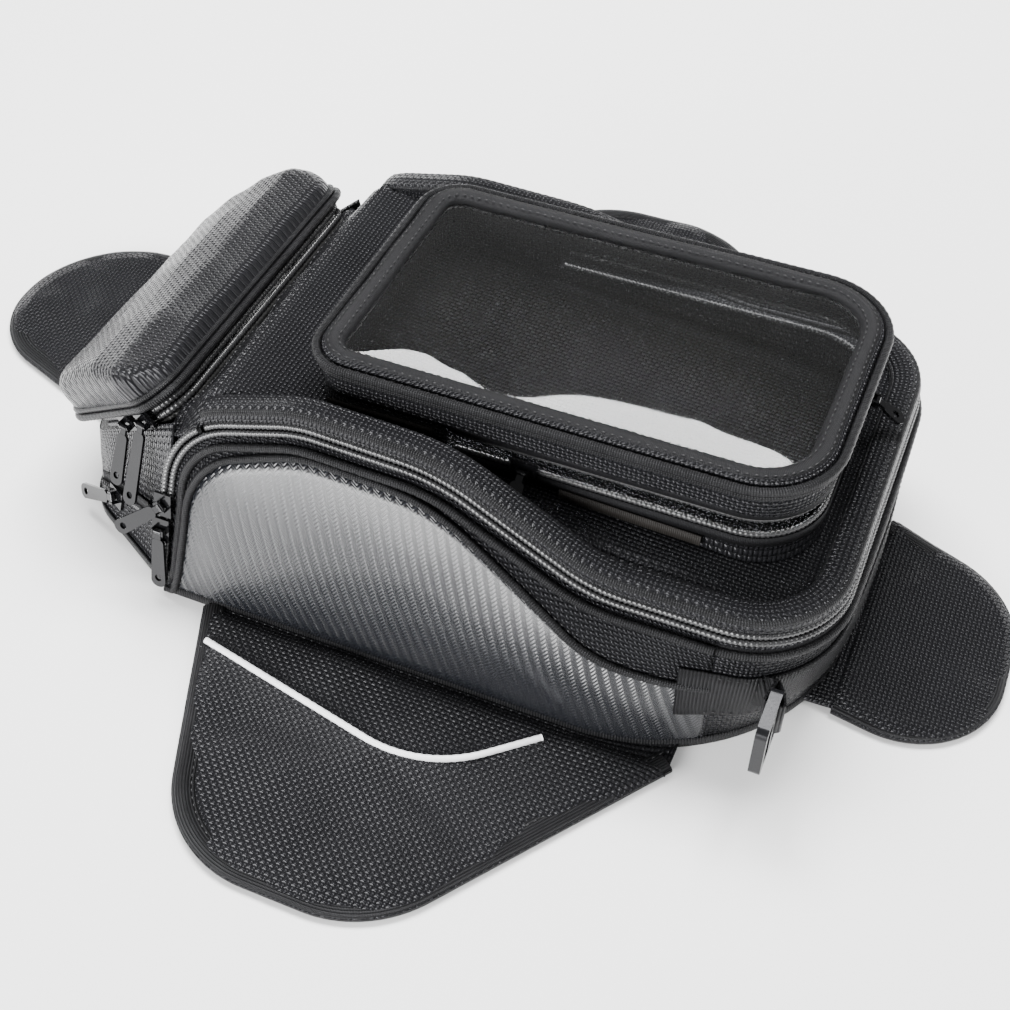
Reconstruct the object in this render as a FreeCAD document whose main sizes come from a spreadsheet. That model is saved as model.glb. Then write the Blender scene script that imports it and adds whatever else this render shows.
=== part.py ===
import FreeCAD, Part
import math
import os

# Motorcycle tank bag. Millimetres, +X towards the rounded rear end, -X towards the nose,
# -Y the near side, +Z up. The origin is the middle of the base's underside.

V = FreeCAD.Vector
doc = FreeCAD.newDocument("TankBag")
sheet = doc.addObject("Spreadsheet::Sheet", "Dimensions")

DIMENSIONS = {
    "base_half_length": 190,
    "base_half_width": 124,
    "underside_thickness": 2,
    "board_thickness": 2.5,
    "wall_thickness": 3,
    "side_lean": 15.5,
    "coil_radius": 1.6,
    "coil_spacing": 1.9,
    "piping_radius": 2.2,
    "rear_radius": 50,
    "base_rear_radius": 100,
    "lid_front": -100,
    "lid_rear": 190,
    "lid_half_width": 102,
    "lid_front_height": 98,
    "lid_rear_height": 76,
    "lid_thickness": 3,
    "hinge_gap": 1.2,
    "pocket_front": -59,
    "pocket_rear": 169,
    "pocket_half_width": 70,
    "pocket_wall_top": 95.4,
    "frame_bottom": 108,
    "frame_thickness": 21,
    "frame_width": 11,
    "pane_thickness": 1,
    "cover_half_width": 94,
    "cover_thickness": 3,
    "tray_thickness": 3,
    "flap_thickness": 4,
    "binding_width": 6,
    "side_flap_reach": 122,
    "nose_flap_reach": 120,
    "rear_flap_reach": 70,
    "magnet_radius": 15,
    "magnet_thickness": 2,
    "reflector_radius": 1.5,
    "slider_length": 12,
    "slider_width": 9,
    "slider_plate": 1.8,
    "slider_post": 1,
    "post_depth": 3,
    "post_height": 3.2,
    "pin_radius": 0.6,
    "barrel_radius": 1.3,
    "puller_length": 31,
    "short_puller_length": 15.5,
    "long_puller_length": 42,
    "puller_width": 8,
    "puller_thickness": 1.5,
    "webbing_thickness": 2,
    "webbing_height": 28,
    "buckle_width": 26,
    "buckle_height": 30,
    "buckle_thickness": 5,
}
for row, (alias, value) in enumerate(DIMENSIONS.items(), start=1):
    sheet.set(f"A{row}", alias)
    sheet.set(f"B{row}", str(value))
    sheet.setAlias(f"B{row}", alias)
doc.recompute()


def dim(alias):
    return float(sheet.get(alias))


parts = []
HALF = dim("base_half_width")
LEAN = math.radians(dim("side_lean"))
UNDER = dim("underside_thickness")
WALL = dim("wall_thickness")
COIL = dim("coil_radius")
ROW = dim("coil_spacing")
PIPE = dim("piping_radius")


# ---------------------------------------------------------------- helpers

def corner_path(corners, closed=True):
    """Straight runs joined by tangent arcs, through (x, y, radius) corners."""
    count = len(corners)
    cuts = []
    for index, (x, y, radius) in enumerate(corners):
        here = V(x, y, 0)
        if radius == 0 or (not closed and index in (0, count - 1)):
            cuts.append((here, None, here))
            continue
        before = V(*corners[index - 1][:2], 0) - here
        after = V(*corners[(index + 1) % count][:2], 0) - here
        before.normalize()
        after.normalize()
        half = before.getAngle(after) / 2
        reach = radius / math.tan(half)
        bisector = before + after
        bisector.normalize()
        middle = here + bisector * (radius / math.sin(half) - radius)
        cuts.append((here + before * reach, middle, here + after * reach))
    edges = []
    for index, (start, middle, end) in enumerate(cuts):
        if middle is not None:
            edges.append(Part.Arc(start, middle, end))
        if closed or index < count - 1:
            following = cuts[(index + 1) % count][0]
            if (following - end).Length > 1e-4:
                edges.append(Part.LineSegment(end, following))
    return edges


def offset_corners(corners, distance, closed=True):
    """The same corners moved to the left of the path; each radius follows."""
    count = len(corners)
    moved = []
    for index, (x, y, radius) in enumerate(corners):
        here = V(x, y, 0)
        before = here - V(*corners[index - 1][:2], 0)
        after = V(*corners[(index + 1) % count][:2], 0) - here
        if not closed and index == 0:
            before = after
        if not closed and index == count - 1:
            after = before
        before.normalize()
        after.normalize()
        left_in = V(-before.y, before.x, 0)
        left_out = V(-after.y, after.x, 0)
        shift = (left_in + left_out) * (distance / (1 + left_in.dot(left_out)))
        turn = before.x * after.y - before.y * after.x
        new_radius = radius - math.copysign(distance, turn) if radius else 0
        moved.append((x + shift.x, y + shift.y, new_radius))
    return moved


def mirrored_outline(half):
    """A closed outline from its +Y half, listed from the front to the rear."""
    other = [(x, -y, radius) for x, y, radius in reversed(half)]
    return other + half


def wire_of(corners, height=0.0, closed=True):
    wire = Part.Wire([edge.toShape() for edge in corner_path(corners, closed)])
    wire.translate(V(0, 0, height))
    return wire


def prism(corners, bottom, top):
    return Part.Face(wire_of(corners, bottom)).extrude(V(0, 0, top - bottom))


def side_prism(corners, half_width):
    """An (x, z) outline extruded across the bag."""
    face = Part.Face(wire_of(corners))
    face.rotate(V(0, 0, 0), V(1, 0, 0), 90)
    face.translate(V(0, half_width, 0))
    return face.extrude(V(0, -2 * half_width, 0))


def keep(label, shape):
    """A free-form sub-part: its shape goes in a Part::Feature of its own."""
    feature = doc.addObject("Part::Feature", label)
    feature.Label = label
    feature.Shape = shape
    parts.append(feature)
    return feature


def mirror(label, source):
    """The far-side twin of a near-side sub-part."""
    twin = doc.addObject("Part::Mirroring", label)
    twin.Label = label
    twin.Source = source
    twin.Normal = V(0, 1, 0)
    parts.append(twin)
    return twin


def plate(label, corners, thickness, height):
    """A flat sub-part: an outline sketched on XY and padded upwards."""
    body = doc.addObject("PartDesign::Body", label)
    body.Label = label
    plane = [item for item in body.Origin.OriginFeatures if item.Role == "XY_Plane"][0]
    sketch = body.newObject("Sketcher::SketchObject", label + "_outline")
    sketch.AttachmentSupport = (plane, [""])
    sketch.MapMode = "FlatFace"
    for edge in corner_path(corners):
        sketch.addGeometry(edge, False)
    pad = body.newObject("PartDesign::Pad", label + "_pad")
    pad.Profile = sketch
    pad.setExpression("Length", "Dimensions." + thickness)
    body.Placement = FreeCAD.Placement(V(0, 0, height), FreeCAD.Rotation())
    return body


def tube(path, radius):
    """A round cord of piping or coil along a tangent path of edges."""
    wire = Part.Wire(Part.__sortEdges__(path))
    first = wire.OrderedEdges[0]
    start = wire.OrderedVertexes[0].Point
    along = first.tangentAt(first.FirstParameter)
    ring = Part.Wire([Part.makeCircle(radius, start, along)])
    return wire.makePipeShell([ring], True, True)


def slab(low, high):
    box = Part.makeBox(high[0] - low[0], high[1] - low[1], high[2] - low[2], V(*low))
    return box


# ---------------------------------------------------------------- base and lower walls

LENGTH = dim("base_half_length")
REAR = dim("rear_radius")
BASE_REAR = dim("base_rear_radius")
BASE_HALF = [
    (LENGTH, HALF, BASE_REAR),
    (-118, HALF, 30),
    (-LENGTH, 84, 36),
]
BASE_OUTLINE = mirrored_outline(BASE_HALF)

underside = plate("underside_sheet", BASE_OUTLINE, "underside_thickness", 0)
parts.append(underside)
board = plate("base_board", offset_corners(BASE_OUTLINE, WALL + 4), "board_thickness", UNDER)
parts.append(board)

# The side of the bag leans inwards: x runs along the bag and y up the slope.
LEANING = FreeCAD.Placement(V(0, -HALF, UNDER), FreeCAD.Rotation(V(1, 0, 0), 90 - dim("side_lean")))
ZIP_FOOT = -122
ZIP_END = 144
ZIP_SIDE = [
    (ZIP_FOOT, 10, 0),
    (-114, 91, 42),
    (-52, 109, 60),
    (14, 107, 90),
    (88, 75, 70),
    (ZIP_END, 75, 0),
]


def zip_path(distance):
    """The main zip's line from the near foot round the rear to the far foot."""
    side = wire_of(offset_corners(ZIP_SIDE, distance, closed=False), closed=False)
    side.Placement = LEANING
    slope = ZIP_SIDE[-1][1] + distance
    height = UNDER + slope * math.cos(LEAN)
    side_y = HALF - slope * math.sin(LEAN)
    radius = side_y - 60
    rear_x = ZIP_END + radius
    diagonal = radius * math.sqrt(0.5)
    corner = Part.Arc(
        V(ZIP_END, -side_y, height),
        V(ZIP_END + diagonal, -60 - diagonal, height),
        V(rear_x, -60, height),
    ).toShape()
    end = Part.LineSegment(V(rear_x, -60, height), V(rear_x, 60, height)).toShape()
    far_side = side.mirror(V(0, 0, 0), V(0, 1, 0))
    far_corner = corner.mirror(V(0, 0, 0), V(0, 1, 0))
    return side.Edges + [corner, end] + far_side.Edges + [far_corner]


def side_panel():
    """The teardrop panel below the zip, standing on the base sheet."""
    top = offset_corners(ZIP_SIDE, -ROW - COIL, closed=False)
    outline = [(top[0][0], 2, 0)] + [(x, y, max(radius, 0)) for x, y, radius in top]
    outline[-1] = (ZIP_END - 1, outline[-1][1], 0)
    outline.append((ZIP_END - 1, 2, 0))
    panel = Part.Face(wire_of(outline[::-1])).extrude(V(0, 0, -WALL))
    panel.Placement = LEANING
    return panel.common(prism(offset_corners(BASE_OUTLINE, -0.5), -5, 200))


near_side = side_panel()
near_panel = keep("near_side_panel", near_side)
mirror("far_side_panel", near_panel)

# The rear wall follows the base at the bottom and the zip at the top.
REAR_TOP = UNDER + (ZIP_SIDE[-1][1] - ROW - COIL) * math.cos(LEAN) - 0.4
REAR_Y = HALF - (ZIP_SIDE[-1][1] - ROW) * math.sin(LEAN)


def rear_shell(inset):
    """The closed body of the rear wall, drawn in from its outer face."""
    radius = REAR - 2
    low_radius = BASE_REAR - 2
    low = [
        (ZIP_END - 60, -HALF + inset, 0),
        (LENGTH - 2 - inset, -HALF + inset, low_radius - inset),
        (LENGTH - 2 - inset, HALF - inset, low_radius - inset),
        (ZIP_END - 60, HALF - inset, 0),
    ]
    high = [
        (ZIP_END - 60, -REAR_Y + inset, 0),
        (ZIP_END + REAR_Y - 60 - inset, -REAR_Y + inset, radius - inset),
        (ZIP_END + REAR_Y - 60 - inset, REAR_Y - inset, radius - inset),
        (ZIP_END - 60, REAR_Y - inset, 0),
    ]
    return Part.makeLoft([wire_of(low, UNDER), wire_of(high, REAR_TOP)], True, True)


FAR_OUT = 400.0
WRAP_START = 98.0
behind_sides = slab((WRAP_START, -FAR_OUT, -1), (FAR_OUT, FAR_OUT, 200))
rear_ring = rear_shell(0).cut(rear_shell(WALL)).common(behind_sides)
far_side = near_side.mirror(V(0, 0, 0), V(0, 1, 0))
rear_ring = rear_ring.cut(near_side).cut(far_side)
keep("rear_wall", max(rear_ring.Solids, key=lambda solid: solid.Volume))

# A wide webbing band wraps the rear wall outside.
band_height = dim("webbing_height")
band_low = 23.0
band_zone = slab((ZIP_END - 2, -FAR_OUT, band_low), (FAR_OUT, FAR_OUT, band_low + band_height))
band_outer = rear_shell(-dim("webbing_thickness"))
band = band_outer.cut(rear_shell(0)).common(band_zone)
side_cut = slab((ZIP_END - 3, -FAR_OUT, 0), (ZIP_END, FAR_OUT, 200))
keep("rear_webbing_band", band.cut(side_cut))

# ---------------------------------------------------------------- main zip and its piping

closed_zone = slab((dim("lid_front") + 0.6, -FAR_OUT, 0), (FAR_OUT, FAR_OUT, 300))
front_zone = slab((-FAR_OUT, -FAR_OUT, 0), (dim("lid_front") - 0.6, FAR_OUT, 300))
upper_row = tube(zip_path(ROW), COIL)
keep("main_zip_lower_row", tube(zip_path(-ROW), COIL))
keep("main_zip_upper_row", upper_row.common(closed_zone))
keep("main_zip_front_ends", upper_row.common(front_zone))

PIPING_OUT = 2.6
piping_side = wire_of(offset_corners(ZIP_SIDE, -ROW - COIL - 4, closed=False), closed=False)
piping_side.Placement = LEANING.multiply(FreeCAD.Placement(V(0, 0, PIPING_OUT), FreeCAD.Rotation()))
near_piping = keep("near_side_piping", tube(piping_side.Edges, PIPE))
mirror("far_side_piping", near_piping)

# ---------------------------------------------------------------- main lid

LID_FRONT = dim("lid_front")
LID_REAR = dim("lid_rear")
LID_HALF = dim("lid_half_width")
LID_SLOPE = (dim("lid_rear_height") - dim("lid_front_height")) / (LID_REAR - LID_FRONT)
RIM_RISE = 8.5
LID_EDGE = 77.0


def lid_height(x):
    """Height of the lid panel's top face at x."""
    return dim("lid_front_height") + LID_SLOPE * (x - LID_FRONT)


def lid_plan(inset, height):
    """The lid's outline at a height: its sides lean in like the side panels."""
    lean_in = (height - LID_EDGE) * math.tan(LEAN)
    rear_in = (height - LID_EDGE) * 0.1
    corner = REAR - 3 - inset
    half = LID_HALF - lean_in - inset
    rear = LID_REAR - rear_in - inset
    front = LID_FRONT + inset
    return [(front, -half, 0), (rear, -half, corner), (rear, half, corner), (front, half, 0)]


def lid_block(inset):
    low = wire_of(lid_plan(inset, 50), 50)
    high = wire_of(lid_plan(inset, 130), 130)
    return Part.makeLoft([low, high], True, True)


def below_zip(distance):
    """Everything under the zip's line, moved up by a distance."""
    moved = offset_corners(ZIP_SIDE, distance, closed=False)
    outline = [(x, UNDER + y * math.cos(LEAN), radius) for x, y, radius in moved]
    outline[-1] = (FAR_OUT, outline[-1][1], 0)
    outline = [(outline[0][0], -5, 0)] + outline + [(FAR_OUT, -5, 0)]
    return side_prism(outline[::-1], FAR_OUT)


def below_lid_top(drop):
    corners = [
        (LID_FRONT - 5, -5, 0),
        (FAR_OUT, -5, 0),
        (FAR_OUT, lid_height(FAR_OUT) - drop, 0),
        (LID_FRONT - 5, lid_height(LID_FRONT - 5) - drop, 0),
    ]
    return side_prism(corners, FAR_OUT)


# The lid is a plate, a lip standing on its edge inside the side panels, and the rim
# that turns out from the lip over the zip.
LIP = 2.0
LIP_IN = WALL + 4.5
lid_inside = lid_block(LIP_IN)
lid_under = below_lid_top(dim("lid_thickness"))
rim_limit = below_zip(RIM_RISE).fuse(below_lid_top(0))
lid_plate = lid_inside.common(below_lid_top(0)).cut(lid_under)
lid_lip = lid_inside.cut(lid_block(LIP_IN + LIP)).common(rim_limit).cut(lid_under)
lid_rim = lid_block(0).cut(lid_inside).common(rim_limit).cut(below_zip(ROW + COIL + 0.1))
front_ridge = slab(
    (LID_FRONT - 1, -LID_HALF + 14, lid_height(LID_FRONT)),
    (LID_FRONT + LIP_IN + LIP + 1, LID_HALF - 14, FAR_OUT),
)
lid_shape = lid_plate.fuse(lid_lip).fuse(lid_rim).cut(front_ridge).removeSplitter()
# The near lip is cut back where the window's near puller swings out over it.
puller_room = slab((18, -91.2, 89.6), (130, -60, FAR_OUT))
lid_shape = lid_shape.cut(puller_room)
# The rim's front corners are relieved along the way the lower row passes them as the lid opens.
LID_PIVOT = V(LID_FRONT - dim("hinge_gap") / 2, 0, lid_height(LID_FRONT))
for opened in (0, 6, 12, 17, 22):
    passing = tube(zip_path(-ROW), COIL + 0.8)
    passing.rotate(LID_PIVOT, V(0, 1, 0), opened)
    lid_shape = lid_shape.cut(passing)
lid_shape = lid_shape.cut(tube(zip_path(ROW), COIL + 0.2))
keep("main_lid", max(lid_shape.Solids, key=lambda solid: solid.Volume))

# The saddle joins the front pocket to the lid; it stays put when the lid opens.
SADDLE = [
    (-124, 62, 0),
    (LID_FRONT - dim("hinge_gap"), lid_height(LID_FRONT) - 3, 0),
    (LID_FRONT - dim("hinge_gap"), lid_height(LID_FRONT), 0),
    (-106, lid_height(LID_FRONT), 3),
    (-124, 66, 0),
]
keep("saddle_panel", side_prism(SADDLE, 88))

# ---------------------------------------------------------------- window pocket on the lid

POCKET_FRONT = dim("pocket_front")
POCKET_REAR = dim("pocket_rear")
POCKET_HALF = dim("pocket_half_width")
WALL_TOP = dim("pocket_wall_top")
FRAME_LOW = dim("frame_bottom")
FRAME_TOP = FRAME_LOW + dim("frame_thickness")
ZIP_START = 8.0


def pocket_plan(inset):
    front_corner = 18 - inset
    rear_corner = 34 - inset
    return [
        (POCKET_FRONT + inset, -POCKET_HALF + inset, max(front_corner, 3)),
        (POCKET_REAR - inset, -POCKET_HALF + inset, rear_corner),
        (POCKET_REAR - inset, POCKET_HALF - inset, rear_corner),
        (POCKET_FRONT + inset, POCKET_HALF - inset, max(front_corner, 3)),
    ]


pocket_ring = prism(pocket_plan(0), 40, FRAME_LOW - 0.5).cut(prism(pocket_plan(WALL), 39, FRAME_TOP))
open_stretch = slab((ZIP_START, -FAR_OUT, WALL_TOP), (FAR_OUT, FAR_OUT, FRAME_TOP))
keep("window_pocket_wall", pocket_ring.cut(below_lid_top(0)).cut(open_stretch))

opening_zone = slab((ZIP_START, -FAR_OUT, 0), (FAR_OUT, FAR_OUT, 200))
upper_zone = slab((ZIP_START + 0.5, -FAR_OUT, 0), (FAR_OUT, FAR_OUT, 200))
lower_height = WALL_TOP + COIL
upper_height = FRAME_LOW - COIL
pocket_line = 1.8
lower_ring = tube(wire_of(pocket_plan(pocket_line), lower_height).Edges, COIL)
upper_ring = tube(wire_of(pocket_plan(pocket_line), upper_height).Edges, COIL)
keep("window_zip_lower_row", lower_ring.common(opening_zone))
keep("window_zip_upper_row", upper_ring.common(upper_zone))

frame_inner = prism(pocket_plan(dim("frame_width")), 0, 200)
frame_block = prism(pocket_plan(0), FRAME_LOW, FRAME_TOP)
keep("window_frame", frame_block.cut(frame_inner))

pane = plate("window_pane", pocket_plan(dim("frame_width")), "pane_thickness", FRAME_TOP - 4)
parts.append(pane)
rim_wire = wire_of(pocket_plan(-PIPE), FRAME_TOP - 3)
keep("window_rim_piping", tube(rim_wire.Edges, PIPE))

# Flat woven strips sewn to the near and far pocket walls.
STRIP = 1.0
for side, name in ((-1, "near"), (1, "far")):
    face_y = side * POCKET_HALF
    low_y = min(face_y, face_y + side * STRIP)
    front_strip = slab((-50, low_y, 104), (2, low_y + STRIP, 107))
    rear_strip = slab((60, low_y, lid_height(60) + 0.2), (124, low_y + STRIP, WALL_TOP - 1))
    keep(name + "_pocket_strips", Part.makeCompound([front_strip, rear_strip]))

# ---------------------------------------------------------------- nose and front pocket

CHORD_LOW = (-200.0, 34.0)
CHORD_HIGH = (-123.0, 92.0)
CHORD_LENGTH = math.hypot(CHORD_HIGH[0] - CHORD_LOW[0], CHORD_HIGH[1] - CHORD_LOW[1])
CHORD_ANGLE = math.degrees(math.atan2(CHORD_HIGH[1] - CHORD_LOW[1], CHORD_HIGH[0] - CHORD_LOW[0]))
COVER_HALF = dim("cover_half_width")

# Local frame of the pocket's mouth: x up the slope from the nose, y across, z outwards.
MOUTH = FreeCAD.Placement(
    V(CHORD_LOW[0], 0, CHORD_LOW[1]), FreeCAD.Rotation(V(0, 1, 0), -CHORD_ANGLE)
)


def mouth_plan(inset):
    """The pocket's mouth, seen square to it."""
    return [
        (inset, -COVER_HALF + 26 + inset, 26),
        (CHORD_LENGTH - inset, -COVER_HALF + inset, 18),
        (CHORD_LENGTH - inset, COVER_HALF - inset, 18),
        (inset, COVER_HALF - 26 - inset, 26),
    ]


def cover_block(inset):
    """The bulged pocket cover as a closed body above the mouth."""
    profile = [
        (inset, -1 if inset else 0, 0),
        (CHORD_LENGTH - inset, -1 if inset else 0, 0),
        (CHORD_LENGTH - 4 - inset, 14 - inset, 10),
        (56, 28 - inset, 40),
        (6 + inset, 20 - inset, 14),
    ]
    block = side_prism(profile, COVER_HALF + 20)
    plan = prism(mouth_plan(inset), -5, 80)
    return block.common(plan)


cover = cover_block(0)
cover = cover.cut(cover_block(dim("cover_thickness")))
cover.Placement = MOUTH
keep("front_pocket_cover", cover)

tray_drop = 2 * COIL + 2 * ROW + 0.4
tray = Part.Face(wire_of(mouth_plan(0.5), -tray_drop)).extrude(V(0, 0, -dim("tray_thickness")))
tray.Placement = MOUTH
keep("front_pocket_tray", tray)


def mouth_row(depth):
    """One coil row round the mouth's near, rear and far edges."""
    full = mouth_plan(1.7)
    path = [
        (full[0][0] + 30, full[0][1] - 6, 0),
        full[1],
        full[2],
        (full[3][0] + 30, full[3][1] + 6, 0),
    ]
    row = tube(wire_of(path, depth, closed=False).Edges, COIL)
    row.Placement = MOUTH
    return row


keep("front_zip_upper_row", mouth_row(-COIL - 0.1))
keep("front_zip_lower_row", mouth_row(-tray_drop + COIL))
front_piping = wire_of(mouth_plan(-PIPE - 0.9), PIPE + 1)
front_piping.Placement = MOUTH.multiply(front_piping.Placement)
keep("front_pocket_piping", tube(front_piping.Edges, PIPE))

# Hook-and-loop patch on the cover, towards the far end.
patch = slab((14, 12, 0), (58, 62, 80)).common(cover_block(-1.2)).cut(cover_block(0))
patch.Placement = MOUTH
keep("hook_patch", max(patch.Solids, key=lambda solid: solid.Volume))

# The nose wall leans in from the base to the underside of the tray.
NOSE_REAR = -128.0
NOSE_REAR_Y = 118.0
TRAY_BOTTOM = -tray_drop - dim("tray_thickness") - 0.2


def nose_shell(inset):
    """The closed body of the nose below the tray, drawn in from its outer face."""
    low = mirrored_outline([
        (NOSE_REAR, NOSE_REAR_Y - inset, 4),
        (-LENGTH + inset, 84 - inset, 36 - inset),
    ])
    high = wire_of(mirrored_outline([
        (CHORD_LENGTH - 2, COVER_HALF - 1 - inset, 4),
        (1 + inset, COVER_HALF - 27 - inset, 26 - inset),
    ]), TRAY_BOTTOM)
    high.Placement = MOUTH.multiply(high.Placement)
    return Part.makeLoft([wire_of(low, UNDER), high], True, True)


nose_wall = nose_shell(0).cut(nose_shell(WALL))
keep("nose_wall", max(nose_wall.Solids, key=lambda solid: solid.Volume))


NOSE_LOW_REAR = V(NOSE_REAR, -NOSE_REAR_Y, UNDER)
NOSE_LOW_FRONT = V(-LENGTH, -84, UNDER)
NOSE_HIGH_REAR = MOUTH.multVec(V(CHORD_LENGTH - 2, -COVER_HALF + 1, TRAY_BOTTOM))
NOSE_HIGH_FRONT = MOUTH.multVec(V(1, -COVER_HALF + 27, TRAY_BOTTOM))
NOSE_OUTWARD = (NOSE_LOW_FRONT - NOSE_LOW_REAR).cross(NOSE_HIGH_REAR - NOSE_LOW_REAR)
NOSE_OUTWARD.normalize()
if NOSE_OUTWARD.y > 0:
    NOSE_OUTWARD = NOSE_OUTWARD * -1


def nose_point(along, up, out):
    """A point off the nose's near wall: fractions along it and up it, and a distance outwards."""
    low = NOSE_LOW_REAR + (NOSE_LOW_FRONT - NOSE_LOW_REAR) * along
    high = NOSE_HIGH_REAR + (NOSE_HIGH_FRONT - NOSE_HIGH_REAR) * along
    return low + (high - low) * up + NOSE_OUTWARD * out


# A short zip runs across the near side of the nose.
NOSE_UP = 0.38
NOSE_OUT = COIL + 0.6
nose_start = nose_point(0.15, NOSE_UP, NOSE_OUT)
nose_end = nose_point(0.78, NOSE_UP, NOSE_OUT)
nose_line = Part.LineSegment(nose_start, nose_end).toShape()
keep("nose_zip", tube([nose_line], COIL))

# ---------------------------------------------------------------- flaps with magnets

THICK = dim("flap_thickness")
ROOT_GAP = 3.0
ROOT_Y = -HALF - ROOT_GAP
REACH = dim("side_flap_reach")
SIDE_FLAP = [
    (-97, ROOT_Y, 0),
    (-46, ROOT_Y - REACH, 58),
    (50, ROOT_Y - REACH, 58),
    (138, ROOT_Y, 0),
]
NOSE_X = -LENGTH - ROOT_GAP
NOSE_REACH = dim("nose_flap_reach")
NOSE_FLAP = [
    (NOSE_X, 88, 0),
    (NOSE_X - NOSE_REACH, 112, 60),
    (NOSE_X - NOSE_REACH, 0, 52),
    (NOSE_X, -44, 0),
]
REAR_X = LENGTH + ROOT_GAP
REAR_REACH = dim("rear_flap_reach")
REAR_FLAP = [
    (REAR_X, -70, 0),
    (REAR_X + REAR_REACH, -82, 45),
    (REAR_X + REAR_REACH, 28, 50),
    (REAR_X, 56, 0),
]
FAR_FLAP = [(x, -y, radius) for x, y, radius in reversed(SIDE_FLAP)]
NEAR_MAGNETS = [(-38, -205), (20, -218), (74, -176)]
FLAPS = {
    "near": (SIDE_FLAP, NEAR_MAGNETS),
    "far": (FAR_FLAP, [(x, -y) for x, y in NEAR_MAGNETS]),
    "nose": (NOSE_FLAP, [(-278, 62), (-258, 16)]),
    "rear": (REAR_FLAP, [(232, -44), (232, 6)]),
}


def flap_magnet(x, y):
    disc = doc.addObject("Part::Cylinder", "magnet")
    disc.setExpression("Radius", "Dimensions.magnet_radius")
    disc.setExpression("Height", "Dimensions.magnet_thickness")
    middle = (THICK - dim("magnet_thickness")) / 2
    disc.Placement = FreeCAD.Placement(V(x, y, middle), FreeCAD.Rotation())
    return disc


for name, (outline, magnet_places) in FLAPS.items():
    inner = offset_corners(outline, dim("binding_width"))
    root_first = outline[0]
    root_last = outline[-1]
    if name in ("near", "far"):
        inner[0] = (inner[0][0], root_first[1], 0)
        inner[-1] = (inner[-1][0], root_last[1], 0)
    else:
        inner[0] = (root_first[0], inner[0][1], 0)
        inner[-1] = (root_last[0], inner[-1][1], 0)
    core = plate(name + "_flap_core", inner, "flap_thickness", 0)
    whole = plate(name + "_flap_whole", outline, "flap_thickness", 0)
    magnets = [flap_magnet(x, y) for x, y in magnet_places]
    group = doc.addObject("Part::MultiFuse", name + "_flap_magnets")
    group.Label = name + "_flap_magnets"
    group.Shapes = magnets
    parts.append(group)
    shell = doc.addObject("Part::Cut", name + "_flap")
    shell.Label = name + "_flap"
    shell.Base = core
    shell.Tool = group
    parts.append(shell)
    binding = doc.addObject("Part::Cut", name + "_flap_binding")
    binding.Label = name + "_flap_binding"
    binding.Base = whole
    binding.Tool = core
    parts.append(binding)

# Reflective piping lies across the two side flaps.
REFLECTOR = [
    (-84, -146, 0),
    (38, -172, 60),
    (80, -135, 0),
]
reflector_height = THICK + dim("reflector_radius")
reflector_path = wire_of(REFLECTOR, reflector_height, closed=False)
reflector = tube(reflector_path.Edges, dim("reflector_radius"))
near_reflector = keep("near_reflective_piping", reflector)
mirror("far_reflective_piping", near_reflector)

# ---------------------------------------------------------------- sliders and pullers

# Every slider is drawn at its pin: x along the pin, y up the wall and z outwards.
PLATE = dim("slider_plate")
POST = dim("slider_post")
PIN_Z = PLATE + 1.9
POST_X = 2.7


def bound_box(name, sizes):
    box = doc.addObject("Part::Box", name)
    for side, expression in zip(("Length", "Width", "Height"), sizes):
        box.setExpression(side, expression)
    return box


def add_slider(label, place, along_pin, swing=0):
    """A slider: its plate over the coil, two posts and the pin between them."""
    sizes = ("Dimensions.slider_length", "Dimensions.slider_width", "Dimensions.slider_plate")
    if not along_pin:
        sizes = (sizes[1], sizes[0], sizes[2])
    base = bound_box("slider_base", sizes)
    doc.recompute()
    corner = V(-base.Length.Value / 2, -base.Width.Value / 2, 0)
    centring = FreeCAD.Placement(corner, FreeCAD.Rotation())
    along_zip = FreeCAD.Placement(V(), FreeCAD.Rotation(V(0, 0, 1), -swing))
    base.Placement = along_zip.multiply(centring)
    pieces = [base]
    for side in (-1, 1):
        post_sizes = ("Dimensions.slider_post", "Dimensions.post_depth", "Dimensions.post_height")
        post = bound_box("slider_post", post_sizes)
        post.Placement.Base = V(side * POST_X - POST / 2, -1.5, PLATE - 0.1)
        pieces.append(post)
    pin = doc.addObject("Part::Cylinder", "slider_pin")
    pin.setExpression("Radius", "Dimensions.pin_radius")
    pin.Height = 2 * POST_X
    pin.Placement = FreeCAD.Placement(V(-POST_X, 0, PIN_Z), FreeCAD.Rotation(V(0, 1, 0), 90))
    pieces.append(pin)
    slider = doc.addObject("Part::MultiFuse", label)
    slider.Label = label
    slider.Shapes = pieces
    slider.Placement = place
    parts.append(slider)


def add_puller(label, place, length, lift=0):
    """A puller on the pin, lifted out by an angle: a barrel with a bore, and a long tab."""
    barrel_length = 2 * POST_X - POST - 0.6
    start = V(-barrel_length / 2, 0, PIN_Z)
    barrel = Part.makeCylinder(dim("barrel_radius"), barrel_length, start, V(1, 0, 0))
    bore = Part.makeCylinder(dim("pin_radius") + 0.3, 20, V(-10, 0, PIN_Z), V(1, 0, 0))
    neck = slab((-1.6, -5.0, PIN_Z - 0.7), (1.6, -0.9, PIN_Z + 0.7))
    half = dim("puller_width") / 2
    tab = prism(
        [(-half, -length, 3.5), (half, -length, 3.5), (half - 1, -4, 2), (-half + 1, -4, 2)],
        PIN_Z - dim("puller_thickness") / 2,
        PIN_Z + dim("puller_thickness") / 2,
    )
    hole = Part.makeCylinder(1.8, 20, V(0, 5 - length, PIN_Z - 10), V(0, 0, 1))
    shape = barrel.fuse(neck).fuse(tab).cut(bore).cut(hole)
    shape.rotate(V(0, 0, PIN_Z), V(1, 0, 0), -lift)
    shape.Placement = place.multiply(shape.Placement)
    keep(label, shape)


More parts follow.
